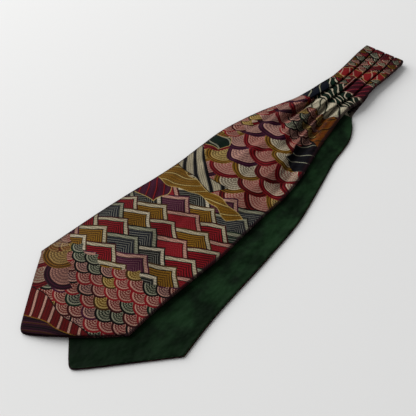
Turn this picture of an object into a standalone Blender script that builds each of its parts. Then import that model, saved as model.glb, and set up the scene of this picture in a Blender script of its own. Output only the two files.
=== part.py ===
# Day cravat of pleated silk, folded once across its neckband and laid flat.
# +X runs from the points of the two blades to the fold of the neckband, +Y to the left, +Z up.
import math

import bmesh
import bpy
import numpy as np

# All sizes are in millimetres, and MM turns them into metres.
MM = 0.001
WALL = 1.0
SEAM_GAP = 0.3
STACK_GAP = 0.4

# Neckband: knife pleats, seen across the band.
PLEATS = 3
PLEAT_PITCH = 13.3
PLEAT_DEPTH = 4.5
TURN_RADIUS = 0.7
TURN_STEP = math.radians(60)
LAYERS = dict(inner=0.5, middle=1.9, outer=3.3)
BAND_THICK = LAYERS["outer"] + WALL / 2
# Each pleat's face, from the edge of the one before it: on the upper run, and pressed flat on the lower one.
FACE = dict(v=(0.5, 4.2, 8.0), height=(0.5, 2.2, 3.35), pressed_v=(0.8, 3.2, 9.0), pressed_height=(0.6, 2.9, 3.3))
FIRST_FACE = dict(v=(1.2, 5.0, 8.0), height=(1.9, 2.6, 3.35), pressed_v=(1.2, 5.0, 9.0), pressed_height=(3.3, 3.3, 3.3))
HEM_TURN_LEFT = 0.7
HEM_TURN_RIGHT = 1.4
HEM_LEFT = 3.5
HEM_RIGHT = 6.0

# Fold of the neckband: its place, and how far the lower run turns away from the upper one.
FOLD_X = 578.6
FOLD_Y = -6.0
FOLD_INSIDE = 0.6
FOLD_TURN = math.radians(5.1)
FOLD_ANGLES = (0, 30, 60, 90, 120, 150, 180)
FOLD_HEIGHT = FOLD_INSIDE + BAND_THICK
FOLD_PRESSED = (60, 170)
FOLD_SPLAY_FROM = 60.0
BAND_RISE = 2.0
BAND_LEVEL_NEAR_FOLD = 20.0
CENTRE_SEAM = 5.0

# Edges of the blades: radius and width of the cloth that is turned under.
EDGE_TURN = 0.65
EDGE_HEM = 1.2
EDGE_STEPS = 3
CORNER_ROUND = 1.6
# A blade's point is about square, so its rows start this many set-ins behind the tip.
POINT_SET_IN = 1.45
SAMPLES = 400

# Upper blade, from its point: the outline's left and right edges, and the radii of the turned edges.
UPPER_OUTLINE = dict(
    x=(70, 105, 150, 185, 215, 250, 285, 320, 350, 380, 405, 430, 450, 470, 490, 510, 535, 560, 582),
    left=(60, 59, 57, 54, 50.5, 48.5, 49.5, 50, 46, 40, 31.5, 21.5, 17.5, 16, 14, 15, 18, 20.5, 21),
    right=(-75, -74.5, -76, -77, -75, -73, -72, -67, -59.5, -51, -46.5, -42, -40.5, -43, -41, -39, -39, -38, -34),
)
UPPER_TURN = dict(
    x=(0, 150, 300, 330, 360, 390, 415, 440, 463),
    left=(0.8, 0.9, 0.9, 0.9, 1.0, 1.0, 1.0, 0.8, 0.7),
    right=(0.9, 1.5, 1.6, 1.9, 2.2, 2.4, 2.3, 1.8, 1.4),
)
# Height of the cloth's middle surface where the blade rises to the neckband, and its loft before that.
UPPER_LOFT = dict(x=(0, 50, 100, 200, 300, 385), loft=(0.6, 1.5, 2.2, 2.6, 3.4, 5.0))
UPPER_RISE = dict(
    x=(330, 380, 400, 420, 440, 463),
    crest=(9.8, 11.8, 13.0, 13.5, 13.3, 11.0),
    left=(2.6, 3.4, 4.0, 5.6, 7.8, 8.9),
    right=(7.8, 9.0, 9.8, 10.6, 10.8, 10.3),
)
RISE_BLEND = (330, 385)
CROWN_POWER = 4
EDGE_POWER = 8
# The point of the upper blade: how steeply its two edges leave the tip.
UPPER_POINT = dict(left=1.19, right=0.62, right_curve=0.0033)

# The three pleats open into valleys that fan out down the upper blade.
VALLEYS = (
    dict(
        x=(355, 370, 385, 400, 415, 430, 440, 463),
        y=(5, 5, 4.5, 4, 3.5, 3, 2.5, 0.7),
        depth=(0, 1.5, 3.5, 5.5, 7.0, 7.4, 6.5, 5.0),
    ),
    dict(
        x=(310, 335, 355, 370, 385, 400, 415, 430, 440, 463),
        y=(-25, -22.5, -21, -20, -18.5, -17.5, -16.5, -15.5, -14.5, -13.4),
        depth=(0, 1.2, 2.4, 3.8, 5.5, 7.2, 8.0, 7.5, 6.6, 5.0),
    ),
    dict(
        x=(260, 285, 310, 335, 355, 370, 385, 400, 415, 430, 440, 463),
        y=(-54, -52, -49, -44, -38.5, -35, -32, -29, -26.5, -26.5, -27, -27.5),
        depth=(0, 1.3, 2.6, 3.8, 4.8, 5.6, 6.8, 7.7, 8.0, 7.4, 6.6, 5.0),
    ),
)
VALLEY_SIDES = dict(
    x=(260, 300, 340, 370, 400, 415, 430, 440),
    steep=(20, 16, 12, 9, 6, 4, 2.5, 2.0),
    gentle=(28, 24, 18, 13, 10, 10, 11, 11),
)
UPPER_PLEATED_FROM = 463
UPPER_OPEN_BELOW = 430
EVEN_COLUMNS = (330, 430)
HELD_TURNS = (380, 425)

# Under blade, along its own axis from the fold: outline, and height of its flattened pleats.
UNDER_OUTLINE = dict(
    d=(5, 30, 50, 71, 93, 115, 134, 151, 171, 190, 212, 235, 273, 312, 368, 463, 500),
    left=(27, 27, 27, 26, 26, 27, 27, 34, 42, 46, 49, 52, 57, 62, 64, 65, 66),
    right=(-28, -27, -22.5, -22.5, -25.8, -27, -29, -39, -47, -49.5, -51, -55, -62, -68, -69.5, -69.5, -72),
)
UNDER_PLEATS = dict(d=(110, 122, 132, 140, 155, 175, 190), height=(2.8, 3.6, 3.4, 2.6, 1.2, 0.3, 0))
UNDER_VALLEY = dict(shift=0.02, steep=0.06, gentle=0.16)
UNDER_PLEATED_TO = 110
UNDER_OPEN_FROM = 140
UNDER_EVEN = (140, 230)
UNDER_POINT = dict(d=574.0, v=-3.0, slope=1.03, half_width=69.0)
LINING_LOFT = 0.8
LINING_LOFT_OVER = (3, 30)
LINING_NECK = 139.0
LINING_COLUMNS = 17
UPPER_LINING_END = 326.0
DRAPE = (-42.0, -6.0)

UPPER_ROWS = dict(
    point=(
        (0, 1.0), (12, 0.96), (27, 0.9), (44, 0.81), (62, 0.7),
        (82, 0.57), (103, 0.43), (125, 0.28), (148, 0.15), (172, 0.06),
    ),
    blade=(198, 226, 252, 276, 296, 312, 327, 341, 354, 366, 377, 388, 398, 408, 418),
    opening=(430, 437, 444, 451, 457),
    band=(463, 486, 509, 532, 555),
)
UNDER_ROWS = dict(
    band=(5.6, 30, 55, 82),
    opening=(110, 117, 124, 131, 140),
    blade=(150, 162, 176, 192, 215, 245, 285, 330, 375),
    point=((160, 0.1), (128, 0.26), (96, 0.48), (64, 0.7), (36, 0.86), (14, 0.95), (0, 1.0)),
)

PRINT_COLOUR = (0.26, 0.15, 0.10, 1.0)
LINING_COLOUR = (0.012, 0.045, 0.018, 1.0)


def smooth(low, high, value):
    part = np.clip((np.asarray(value, float) - low) / (high - low), 0.0, 1.0)
    return part * part * (3.0 - 2.0 * part)


def along(table, column, place, key="x"):
    """The column's value at this place, on a smooth curve through the table's rows."""
    x = np.asarray(table[key], float)
    y = np.asarray(table[column], float)
    slope = np.gradient(y, x)
    place = np.clip(np.asarray(place, float), x[0], x[-1])
    i = np.clip(np.searchsorted(x, place, side="right") - 1, 0, len(x) - 2)
    step = x[i + 1] - x[i]
    part = (place - x[i]) / step
    a = (1 + 2 * part) * (1 - part) ** 2
    b = part * (1 - part) ** 2 * step
    c = part * part * (3 - 2 * part)
    e = part * part * (part - 1) * step
    return a * y[i] + b * slope[i] + c * y[i + 1] + e * slope[i + 1]


def pleat_section(pressed):
    """Knife pleats across the band: distance from the left edge, and height over the band's inner side."""
    angles = np.arange(math.pi / 2, -math.pi / 2 - 0.01, -TURN_STEP)
    upper_turn = (LAYERS["outer"] + LAYERS["middle"]) / 2
    lower_turn = (LAYERS["middle"] + LAYERS["inner"]) / 2
    points = []
    for k in range(PLEATS + 1):
        face = FIRST_FACE if k == 0 else FACE
        for v0, h0, v1, h1 in zip(face["v"], face["height"], face["pressed_v"], face["pressed_height"]):
            start = k * PLEAT_PITCH
            points.append((start + v0 + (v1 - v0) * pressed, h0 + (h1 - h0) * pressed))
        ridge = (k + 1) * PLEAT_PITCH - TURN_RADIUS - WALL / 2
        if k == PLEATS:
            points.append(((k + 1) * PLEAT_PITCH - HEM_TURN_RIGHT - WALL / 2, LAYERS["outer"]))
            break
        for a in angles:
            points.append((ridge + TURN_RADIUS * math.cos(a), upper_turn + TURN_RADIUS * math.sin(a)))
        for a in angles:
            points.append(
                (ridge - PLEAT_DEPTH - TURN_RADIUS * math.cos(a), lower_turn + TURN_RADIUS * math.sin(a))
            )
    section = np.array(points)
    return section[:, 0], section[:, 1]


def cut_shares():
    """Each column's share of the cloth's cut width."""
    v, h = pleat_section(0.0)
    steps = np.hypot(np.diff(v), np.diff(h))
    total = np.concatenate([[0.0], np.cumsum(steps)])
    return total / total[-1]


SHARES = cut_shares()
COLUMNS = len(SHARES)


def turn_shares():
    """Shares of the cut width at each pleat's folded edge and at the turn hidden under it."""
    turn_points = round(math.pi / TURN_STEP) + 1
    face_points = len(FACE["v"])
    shares = []
    for k in range(PLEATS):
        first = k * (face_points + 2 * turn_points) + face_points
        shares.append(SHARES[first : first + turn_points].mean())
        shares.append(SHARES[first + turn_points : first + 2 * turn_points].mean())
    return np.array(shares)


def spread(shares, across, heights, turns=(), held=0.0):
    """Places along a section whose distances over the cloth are these shares of its length.

    Turns are places across the section that the pleats' turns keep to, as far as held says."""
    steps = np.hypot(np.diff(across), np.diff(heights))
    length = np.concatenate([[0.0], np.cumsum(steps)])
    target = shares * length[-1]
    if held > 0:
        at_turns = np.interp(turns, across, length)
        knots = np.concatenate([[0.0], turn_shares(), [1.0]])
        lengths = np.concatenate([[0.0], at_turns, [length[-1]]])
        target = target + (np.interp(shares, knots, lengths) - target) * held
    return np.interp(target, length, across)


def under_frame():
    """Directions of the lower run: away from the fold, and to its left."""
    away = np.array([-math.cos(FOLD_TURN), -math.sin(FOLD_TURN)])
    left = np.array([-math.sin(FOLD_TURN), math.cos(FOLD_TURN)])
    return away, left


def to_under(x, y):
    away, left = under_frame()
    dx = np.asarray(x, float) - FOLD_X
    dy = np.asarray(y, float) - FOLD_Y
    return dx * away[0] + dy * away[1], dx * left[0] + dy * left[1]


def from_under(d, v):
    away, left = under_frame()
    return FOLD_X + d * away[0] + v * left[0], FOLD_Y + d * away[1] + v * left[1]


def inside_under(d, v):
    """Distance inside the under blade's outline, negative outside it."""
    from_left = along(UNDER_OUTLINE, "left", d, "d") - v
    from_right = v - along(UNDER_OUTLINE, "right", d, "d")
    slope = UNDER_POINT["slope"]
    from_point = (UNDER_POINT["d"] - d - slope * np.abs(v - UNDER_POINT["v"])) / math.hypot(1, slope)
    return np.minimum(np.minimum(from_left, from_right), from_point)


def pleat_height(d):
    return np.where(np.asarray(d) > UNDER_PLEATS["d"][-1], 0.0, along(UNDER_PLEATS, "height", d, "d"))


def lining_height(d, v):
    """Middle surface of the lining that faces up on the under blade."""
    loft = LINING_LOFT * smooth(*LINING_LOFT_OVER, inside_under(d, v))
    return 1.5 * WALL + SEAM_GAP + pleat_height(d) + loft


def support(x, y):
    """Lowest height of the upper blade: over the under blade, and down to the surface beside it."""
    d, v = to_under(x, y)
    on_under = lining_height(d, v) + WALL / 2 + STACK_GAP
    return on_under * smooth(*DRAPE, inside_under(d, v))


def valleys(x, y):
    """Depth of the opened pleats under the blade's envelope."""
    steep = along(VALLEY_SIDES, "steep", x)
    gentle = along(VALLEY_SIDES, "gentle", x)
    total = np.zeros_like(np.asarray(y, float))
    for valley in VALLEYS:
        depth = np.where(x <= valley["x"][0], 0.0, along(valley, "depth", x))
        right_of = along(valley, "y", x) - y
        shape = np.where(
            right_of < 0,
            smooth(-steep, 0, np.minimum(right_of, 0)),
            1 - smooth(0, gentle, np.maximum(right_of, 0)),
        )
        total = np.maximum(total, depth * shape)
    return total


def upper_height(x, y, share):
    """Middle surface of the upper blade. Share runs from 0 at the left edge to 1 at the right."""
    turn = along(UPPER_TURN, "left", x) * (1 - share) + along(UPPER_TURN, "right", x) * share
    crown = 1 - np.abs(2 * share - 1) ** CROWN_POWER
    low = support(x, y) + WALL / 2 + 2 * turn + along(UPPER_LOFT, "loft", x) * crown
    edge = along(UPPER_RISE, "left", x) * (1 - share) + along(UPPER_RISE, "right", x) * share
    high = edge + (along(UPPER_RISE, "crest", x) - edge) * crown
    part = smooth(*RISE_BLEND, x)
    inside = 1 - np.abs(2 * share - 1) ** EDGE_POWER
    return low + (high - low) * part - valleys(x, y) * inside


def point_edge(y):
    """How far behind the tip the edge of the upper blade's point lies."""
    left = UPPER_POINT["left"] * np.maximum(y, 0)
    right = np.maximum(-y, 0)
    return left + UPPER_POINT["right"] * right + UPPER_POINT["right_curve"] * right**2


def centred(places, at):
    """Shifts the nearest place onto a value, and the others less the further away they are."""
    middle = int(np.argmin(np.abs(places - at)))
    index = np.arange(len(places))
    before = index / max(middle, 1)
    after = (len(places) - 1 - index) / (len(places) - 1 - middle)
    return places + (at - places[middle]) * np.minimum(before, after)


def even_shares(part):
    return SHARES + (np.linspace(0, 1, COLUMNS) - SHARES) * part


def upper_blade_row(start, taper):
    """One row of the upper blade: at the point it follows the tip's edges, and higher up it runs across."""
    x_left = start + taper * point_edge(UPPER_OUTLINE["left"][0])
    x_right = start + taper * point_edge(UPPER_OUTLINE["right"][0])
    left = along(UPPER_OUTLINE, "left", x_left) - along(UPPER_TURN, "left", x_left) - WALL / 2
    right = along(UPPER_OUTLINE, "right", x_right) + along(UPPER_TURN, "right", x_right) + WALL / 2
    fine = np.linspace(left, right, SAMPLES)
    x_fine = start + taper * point_edge(fine)
    heights = upper_height(x_fine, fine, (left - fine) / (left - right))
    shares = even_shares(1 - float(smooth(*EVEN_COLUMNS, start)))
    turns = []
    for valley in VALLEYS:
        bottom = float(along(valley, "y", start))
        turns += [left - bottom - float(along(VALLEY_SIDES, "steep", start)), left - bottom]
    y = left - spread(shares, left - fine, heights, turns, float(smooth(*HELD_TURNS, start)))
    if taper > 0:
        y = centred(y, 0.0)
    x = start + taper * point_edge(y)
    return np.stack([x, y, upper_height(x, y, (left - y) / (left - right))], axis=1)


def upper_band_row(x, pressed=0.0):
    """Places across the pleated band at x: distance left of the fold's middle, and height over its inner side."""
    v, h = pleat_section(pressed)
    left = along(UPPER_OUTLINE, "left", x)
    right = along(UPPER_OUTLINE, "right", x)
    nominal = (PLEATS + 1) * PLEAT_PITCH
    return left - v * (left - right) / nominal - FOLD_Y, h


def upper_base(x):
    level = 1 - smooth(UPPER_PLEATED_FROM, FOLD_X - BAND_LEVEL_NEAR_FOLD, x)
    return FOLD_HEIGHT + FOLD_INSIDE + BAND_RISE * level


def upper_band_points(x):
    across, h = upper_band_row(x)
    splay = math.tan(FOLD_TURN / 2) * float(smooth(FOLD_X - FOLD_SPLAY_FROM, FOLD_X, x))
    return np.stack([x - splay * across, FOLD_Y + across, upper_base(x) + h], axis=1)


def fold_points(angle):
    """A row on the round of the fold, about an axis half as far turned as the lower run."""
    half = FOLD_TURN / 2
    pressed = float(smooth(*FOLD_PRESSED, math.degrees(angle)))
    across, h = upper_band_row(FOLD_X, pressed)
    radius = FOLD_INSIDE + h
    outward = radius * math.sin(angle)
    x = FOLD_X - math.sin(half) * across + math.cos(half) * outward
    y = FOLD_Y + math.cos(half) * across + math.sin(half) * outward
    return np.stack([x, y, FOLD_HEIGHT + radius * math.cos(angle)], axis=1)


def lower_band_points(d):
    """A row of the lower run, whose pleats are pressed flat on the surface."""
    v, h = pleat_section(1.0)
    left = along(UNDER_OUTLINE, "left", d, "d")
    right = along(UNDER_OUTLINE, "right", d, "d")
    across = left - v * (left - right) / ((PLEATS + 1) * PLEAT_PITCH)
    splay = math.sin(FOLD_TURN / 2) * (1 - float(smooth(0, FOLD_SPLAY_FROM, d)))
    x, y = from_under(d - splay * across, across)
    return np.stack([x, y, BAND_THICK - h], axis=1)


def under_valley(k):
    return (k + 1) / (PLEATS + 1) + UNDER_VALLEY["shift"]


def under_height(d, v, left, right):
    """Middle surface of the under blade, whose opened pleats stand up a little from the surface."""
    share = (left - v) / (left - right)
    total = np.zeros_like(v)
    for k in range(PLEATS):
        right_of = share - under_valley(k)
        shape = np.where(
            right_of < 0,
            smooth(-UNDER_VALLEY["steep"], 0, np.minimum(right_of, 0)),
            1 - smooth(0, UNDER_VALLEY["gentle"], np.maximum(right_of, 0)),
        )
        total = np.maximum(total, shape)
    return WALL / 2 + pleat_height(d) * total


def under_point_edge(v):
    return UNDER_POINT["slope"] * np.abs(v - UNDER_POINT["v"])


def under_edges(d, inset):
    left = along(UNDER_OUTLINE, "left", d, "d") - inset
    right = along(UNDER_OUTLINE, "right", d, "d") + inset
    return left, right


def under_blade_row(start, taper, inset, shares, height):
    """One row of the under blade or its lining. Start is measured from the fold, at the middle of the blade."""
    corner = UNDER_POINT["slope"] * UNDER_POINT["half_width"]
    left, right = under_edges(start - taper * corner, inset)
    fine = np.linspace(left, right, SAMPLES)
    d_fine = start - taper * under_point_edge(fine)
    turns = []
    for k in range(PLEATS):
        turns += [(under_valley(k) - UNDER_VALLEY["steep"]) * (left - right), under_valley(k) * (left - right)]
    held = 1 - float(smooth(*UNDER_EVEN, start)) if len(shares) == COLUMNS else 0.0
    v = left - spread(shares, left - fine, height(d_fine, fine, left, right), turns, held)
    if taper > 0:
        v = centred(v, UNDER_POINT["v"])
    d = start - taper * under_point_edge(v)
    z = height(d, v, left, right)
    x, y = from_under(d, v)
    return np.stack([x, y, z], axis=1)


def turned_edges(grid, turns, hems, inward_side):
    """Strips that turn the cloth's edge round under itself, along the left side, the point and the right side."""
    rows, columns = grid.shape[:2]
    path = [(i, 0) for i in range(rows - 1, 0, -1)]
    path += [(0, j) for j in range(columns)]
    path += [(i, columns - 1) for i in range(1, rows)]
    places = np.array([grid[i, j] for i, j in path])
    tangent = np.gradient(places, axis=0)
    strips = []
    for n, (i, j) in enumerate(path):
        side = inward_side[i]
        neighbour = grid[min(i + 1, rows - 1) if i == 0 else i, min(max(j, 1), columns - 2)]
        inward = np.cross(tangent[n], side)
        inward /= np.linalg.norm(inward)
        if np.dot(inward, neighbour - places[n]) < 0:
            inward = -inward
        share = j / (columns - 1)
        turn = turns[i][0] * (1 - share) + turns[i][1] * share
        hem = hems[i][0] * (1 - share) + hems[i][1] * share
        strip = []
        for k in range(1, EDGE_STEPS + 1):
            angle = math.pi * k / EDGE_STEPS
            strip.append(places[n] - inward * turn * math.sin(angle) + side * turn * (1 - math.cos(angle)))
        strip.append(strip[-1] + inward * hem)
        strips.append(strip)
    return path, np.array(strips)


def round_corners(grid):
    """Draws the two corners of a blade's point in a little, so that they are round."""
    for j, next_j in ((0, 1), (grid.shape[1] - 1, grid.shape[1] - 2)):
        inward = (grid[0, next_j] - grid[0, j]) + (grid[1, j] - grid[0, j])
        inward[2] = 0
        grid[0, j] += inward / np.linalg.norm(inward) * CORNER_ROUND
    return grid


def cloth(name, grid, material, collection, strips=None):
    """An open sheet through the grid's points, thickened to the cloth's wall."""
    rows, columns = grid.shape[:2]
    bm = bmesh.new()
    verts = [[bm.verts.new(grid[i, j] * MM) for j in range(columns)] for i in range(rows)]
    for i in range(rows - 1):
        for j in range(columns - 1):
            bm.faces.new((verts[i][j], verts[i + 1][j], verts[i + 1][j + 1], verts[i][j + 1]))
    if strips is not None:
        path, rings = strips
        edge = [[verts[i][j] for i, j in path]]
        for k in range(rings.shape[1]):
            edge.append([bm.verts.new(p * MM) for p in rings[:, k]])
        for first, second in zip(edge, edge[1:]):
            for n in range(len(path) - 1):
                bm.faces.new((first[n], first[n + 1], second[n + 1], second[n]))
    bmesh.ops.recalc_face_normals(bm, faces=bm.faces)
    mesh = bpy.data.meshes.new(name)
    bm.to_mesh(mesh)
    bm.free()
    mesh.shade_smooth()
    mesh.set_sharp_from_angle(angle=math.radians(60))
    mesh.materials.append(material)
    obj = bpy.data.objects.new(name, mesh)
    collection.objects.link(obj)
    wall = obj.modifiers.new("wall", "SOLIDIFY")
    wall.thickness = WALL * MM
    wall.offset = 0.0
    return obj


def silk(name, colour, roughness):
    material = bpy.data.materials.new(name)
    material.use_nodes = True
    shader = material.node_tree.nodes["Principled BSDF"]
    shader.inputs["Base Color"].default_value = colour
    shader.inputs["Roughness"].default_value = roughness
    shader.inputs["Metallic"].default_value = 0.0
    return material


def upper_shell(material, collection):
    """Upper blade, upper run of the neckband and its fold, in one piece as far as the centre seam."""
    rows, turns, hems, sides = [], [], [], []

    def add(points, turn, hem, side):
        rows.append(points)
        turns.append(turn)
        hems.append(hem)
        sides.append(np.array(side, float))

    down = (0, 0, -1)
    for start, taper in UPPER_ROWS["point"]:
        if start == 0:
            start += (UPPER_TURN["left"][0] + WALL / 2) * POINT_SET_IN
        x = start + taper * point_edge(UPPER_OUTLINE["left"][0])
        turn = (float(along(UPPER_TURN, "left", x)), float(along(UPPER_TURN, "right", x)))
        add(upper_blade_row(start, taper), turn, (EDGE_HEM, EDGE_HEM), down)
    for x in UPPER_ROWS["blade"]:
        turn = (float(along(UPPER_TURN, "left", x)), float(along(UPPER_TURN, "right", x)))
        add(upper_blade_row(x, 0.0), turn, (EDGE_HEM, EDGE_HEM), down)
    for x in UPPER_ROWS["opening"]:
        part = (UPPER_PLEATED_FROM - x) / (UPPER_PLEATED_FROM - UPPER_OPEN_BELOW)
        points = upper_blade_row(x, 0.0) * part + upper_band_points(x) * (1 - part)
        turn = (float(along(UPPER_TURN, "left", x)), float(along(UPPER_TURN, "right", x)))
        hem = (EDGE_HEM + (HEM_LEFT - EDGE_HEM) * (1 - part), EDGE_HEM + (HEM_RIGHT - EDGE_HEM) * (1 - part))
        add(points, turn, hem, down)
    band_turn = (HEM_TURN_LEFT, HEM_TURN_RIGHT)
    band_hem = (HEM_LEFT, HEM_RIGHT)
    for x in UPPER_ROWS["band"]:
        add(upper_band_points(x), band_turn, band_hem, down)
    for degrees in FOLD_ANGLES:
        a = math.radians(degrees)
        half = FOLD_TURN / 2
        inward = (-math.sin(a) * math.cos(half), -math.sin(a) * math.sin(half), -math.cos(a))
        add(fold_points(a), band_turn, band_hem, inward)
    add(lower_band_points(CENTRE_SEAM), band_turn, band_hem, (0, 0, 1))
    grid = round_corners(np.array(rows))
    return cloth("shell_upper", grid, material, collection, turned_edges(grid, turns, hems, sides))


def under_shell(material, collection):
    """Lower run of the neckband and the under blade, print side down."""
    rows, turns, hems = [], [], []
    for start, taper in reversed(UNDER_ROWS["point"]):
        if start == 0:
            start = (EDGE_TURN + WALL / 2) * POINT_SET_IN
        shares = np.linspace(0, 1, COLUMNS)
        inset = EDGE_TURN + WALL / 2
        rows.append(under_blade_row(UNDER_POINT["d"] - start, taper, inset, shares, under_height))
        turns.append((EDGE_TURN, EDGE_TURN))
        hems.append((EDGE_HEM, EDGE_HEM))
    for d in reversed(UNDER_ROWS["blade"]):
        shares = even_shares(float(smooth(*UNDER_EVEN, d)))
        rows.append(under_blade_row(d, 0.0, EDGE_TURN + WALL / 2, shares, under_height))
        turns.append((EDGE_TURN, EDGE_TURN))
        hems.append((EDGE_HEM, EDGE_HEM))
    for d in reversed(UNDER_ROWS["opening"]):
        part = (d - UNDER_PLEATED_TO) / (UNDER_OPEN_FROM - UNDER_PLEATED_TO)
        open_row = under_blade_row(d, 0.0, EDGE_TURN + WALL / 2, even_shares(0.0), under_height)
        rows.append(open_row * part + lower_band_points(d) * (1 - part))
        turns.append((EDGE_TURN, EDGE_TURN + (HEM_TURN_RIGHT - EDGE_TURN) * (1 - part)))
        hems.append((EDGE_HEM + (HEM_LEFT - EDGE_HEM) * (1 - part), EDGE_HEM + (HEM_RIGHT - EDGE_HEM) * (1 - part)))
    for d in reversed(UNDER_ROWS["band"]):
        rows.append(lower_band_points(d))
        turns.append((HEM_TURN_LEFT, HEM_TURN_RIGHT))
        hems.append((HEM_LEFT, HEM_RIGHT))
    sides = [np.array((0.0, 0.0, 1.0))] * len(rows)
    grid = round_corners(np.array(rows))
    return cloth("shell_under", grid, material, collection, turned_edges(grid, turns, hems, sides))


def under_lining(material, collection):
    """Lining of the under blade, which faces up, set in from the turned edges."""
    inset = EDGE_TURN + WALL / 2 + EDGE_HEM + STACK_GAP
    shares = np.linspace(0, 1, LINING_COLUMNS)
    rows = []

    def height(d, v, left, right):
        return lining_height(d, v)

    for start, taper in reversed(UNDER_ROWS["point"]):
        tip = UNDER_POINT["d"] - max(start, inset * POINT_SET_IN)
        rows.append(under_blade_row(tip, taper, inset, shares, height))
    for d in reversed(UNDER_ROWS["blade"]):
        rows.append(under_blade_row(d, 0.0, inset, shares, height))
    rows.append(under_blade_row(LINING_NECK, 0.0, inset, shares, height))
    return cloth("lining_under", round_corners(np.array(rows)), material, collection)


def upper_lining(material, collection):
    """Lining of the upper blade, hidden between the blades and set in from the turned edges."""
    shares = np.linspace(0, 1, LINING_COLUMNS)
    inset = WALL / 2 + EDGE_HEM + STACK_GAP + WALL / 4
    tip_inset = (UPPER_TURN["left"][0] + WALL / 2 + EDGE_HEM + 3 * STACK_GAP) * POINT_SET_IN
    rows = []

    def row(start, taper):
        x_left = start + taper * point_edge(UPPER_OUTLINE["left"][0])
        x_right = start + taper * point_edge(UPPER_OUTLINE["right"][0])
        left = along(UPPER_OUTLINE, "left", x_left) - along(UPPER_TURN, "left", x_left) - inset
        right = along(UPPER_OUTLINE, "right", x_right) + along(UPPER_TURN, "right", x_right) + inset
        y = left + (right - left) * shares
        if taper > 0:
            y = centred(y, 0.0)
        x = start + taper * point_edge(y)
        rows.append(np.stack([x, y, support(x, y) + WALL / 2], axis=1))

    for start, taper in UPPER_ROWS["point"]:
        row(max(start, tip_inset), taper)
    for x in UPPER_ROWS["blade"]:
        if x < UPPER_LINING_END:
            row(x, 0.0)
    row(UPPER_LINING_END, 0.0)
    return cloth("lining_upper", round_corners(np.array(rows)), material, collection)


def stand_on_origin(objects):
    """Moves the meshes so that the middle of the underside lies on the origin."""
    bpy.context.view_layer.update()
    graph = bpy.context.evaluated_depsgraph_get()
    corners = []
    for obj in objects:
        mesh = obj.evaluated_get(graph).to_mesh()
        places = np.empty(len(mesh.vertices) * 3)
        mesh.vertices.foreach_get("co", places)
        corners.append(places.reshape(-1, 3))
    places = np.concatenate(corners)
    low, high = places.min(axis=0), places.max(axis=0)
    for obj in objects:
        for vertex in obj.data.vertices:
            vertex.co.x -= (low[0] + high[0]) / 2
            vertex.co.y -= (low[1] + high[1]) / 2
            vertex.co.z -= low[2]


def main():
    for obj in list(bpy.data.objects):
        bpy.data.objects.remove(obj, do_unlink=True)
    collection = bpy.data.collections.new("silk_cravat")
    bpy.context.scene.collection.children.link(collection)
    print_silk = silk("printed silk", PRINT_COLOUR, 0.55)
    lining_silk = silk("lining satin", LINING_COLOUR, 0.4)
    pieces = [
        upper_shell(print_silk, collection),
        under_shell(print_silk, collection),
        upper_lining(lining_silk, collection),
        under_lining(lining_silk, collection),
    ]
    stand_on_origin(pieces)


main()
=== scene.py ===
# Day cravat of pleated silk, laid flat and folded once across its neckband.
import math

import bpy
import numpy as np
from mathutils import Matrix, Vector


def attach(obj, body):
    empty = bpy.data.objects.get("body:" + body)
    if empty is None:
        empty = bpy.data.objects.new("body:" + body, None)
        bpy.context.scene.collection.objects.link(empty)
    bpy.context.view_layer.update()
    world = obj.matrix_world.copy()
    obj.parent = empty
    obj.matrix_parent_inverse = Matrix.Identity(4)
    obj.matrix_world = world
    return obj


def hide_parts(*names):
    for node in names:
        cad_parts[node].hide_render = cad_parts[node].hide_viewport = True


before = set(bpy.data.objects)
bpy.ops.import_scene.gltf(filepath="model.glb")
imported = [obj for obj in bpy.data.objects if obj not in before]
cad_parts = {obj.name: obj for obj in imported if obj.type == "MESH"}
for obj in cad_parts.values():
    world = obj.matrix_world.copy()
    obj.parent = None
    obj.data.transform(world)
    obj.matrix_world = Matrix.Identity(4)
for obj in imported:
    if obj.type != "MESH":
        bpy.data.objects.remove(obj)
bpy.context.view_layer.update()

mm = 0.001
# The sheets are drawn in millimetres from the upper blade's tip, which lies here in the frame.
tipPlace = np.array((-0.292383, 0.030738, 0.0))

cloth = dict(wall=1.0, shownWall=0.7, stackGap=0.4, seamGap=0.3)
band = dict(
    pleats=3, pitch=13.3, depth=4.5, turnRadius=0.7, turnStep=math.radians(60),
    inner=0.5, middle=1.9, outer=3.3, pressed=0.45, pressedFrom=(463, 505), foldPressed=(535, 572),
    hemTurnLeft=0.7, hemTurnRight=1.4, hemLeft=3.5, hemRight=6.0,
)
# One pleat's face from the edge of the one before, as it is, and pressed flat.
pleatFace = dict(v=(0.5, 4.2, 8.0), h=(0.5, 2.2, 3.35), pressedV=(0.7, 1.8, 9.0), pressedH=(0.6, 3.1, 3.3))
firstFace = dict(v=(1.2, 5.0, 8.0), h=(1.9, 2.6, 3.35), pressedV=(1.2, 5.0, 9.0), pressedH=(3.3, 3.3, 3.3))
fold = dict(
    x=578.6, y=-6.0, inside=0.6, turn=math.radians(5.1), splayFrom=60.0,
    rise=2.0, levelNear=20.0, seamAt=5.0, steps=12,
)
fold["height"] = fold["inside"] + band["outer"] + cloth["wall"] / 2
edge = dict(hem=1.2, steps=6, cornerRound=2.2, pointSetIn=1.45, pointRound=3.2)
rim = dict(turn=0.38, wall=0.6, liningWall=0.5, liningRise=0.06, liningInset=0.9)
fineness = dict(perColumn=4, perPointRow=6, bladeStep=3.5, openingStep=1.7, bandStep=3.0, samples=400)


def smooth(low, high, value):
    part = np.clip((np.asarray(value, float) - low) / (high - low), 0.0, 1.0)
    return part * part * (3.0 - 2.0 * part)


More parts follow.
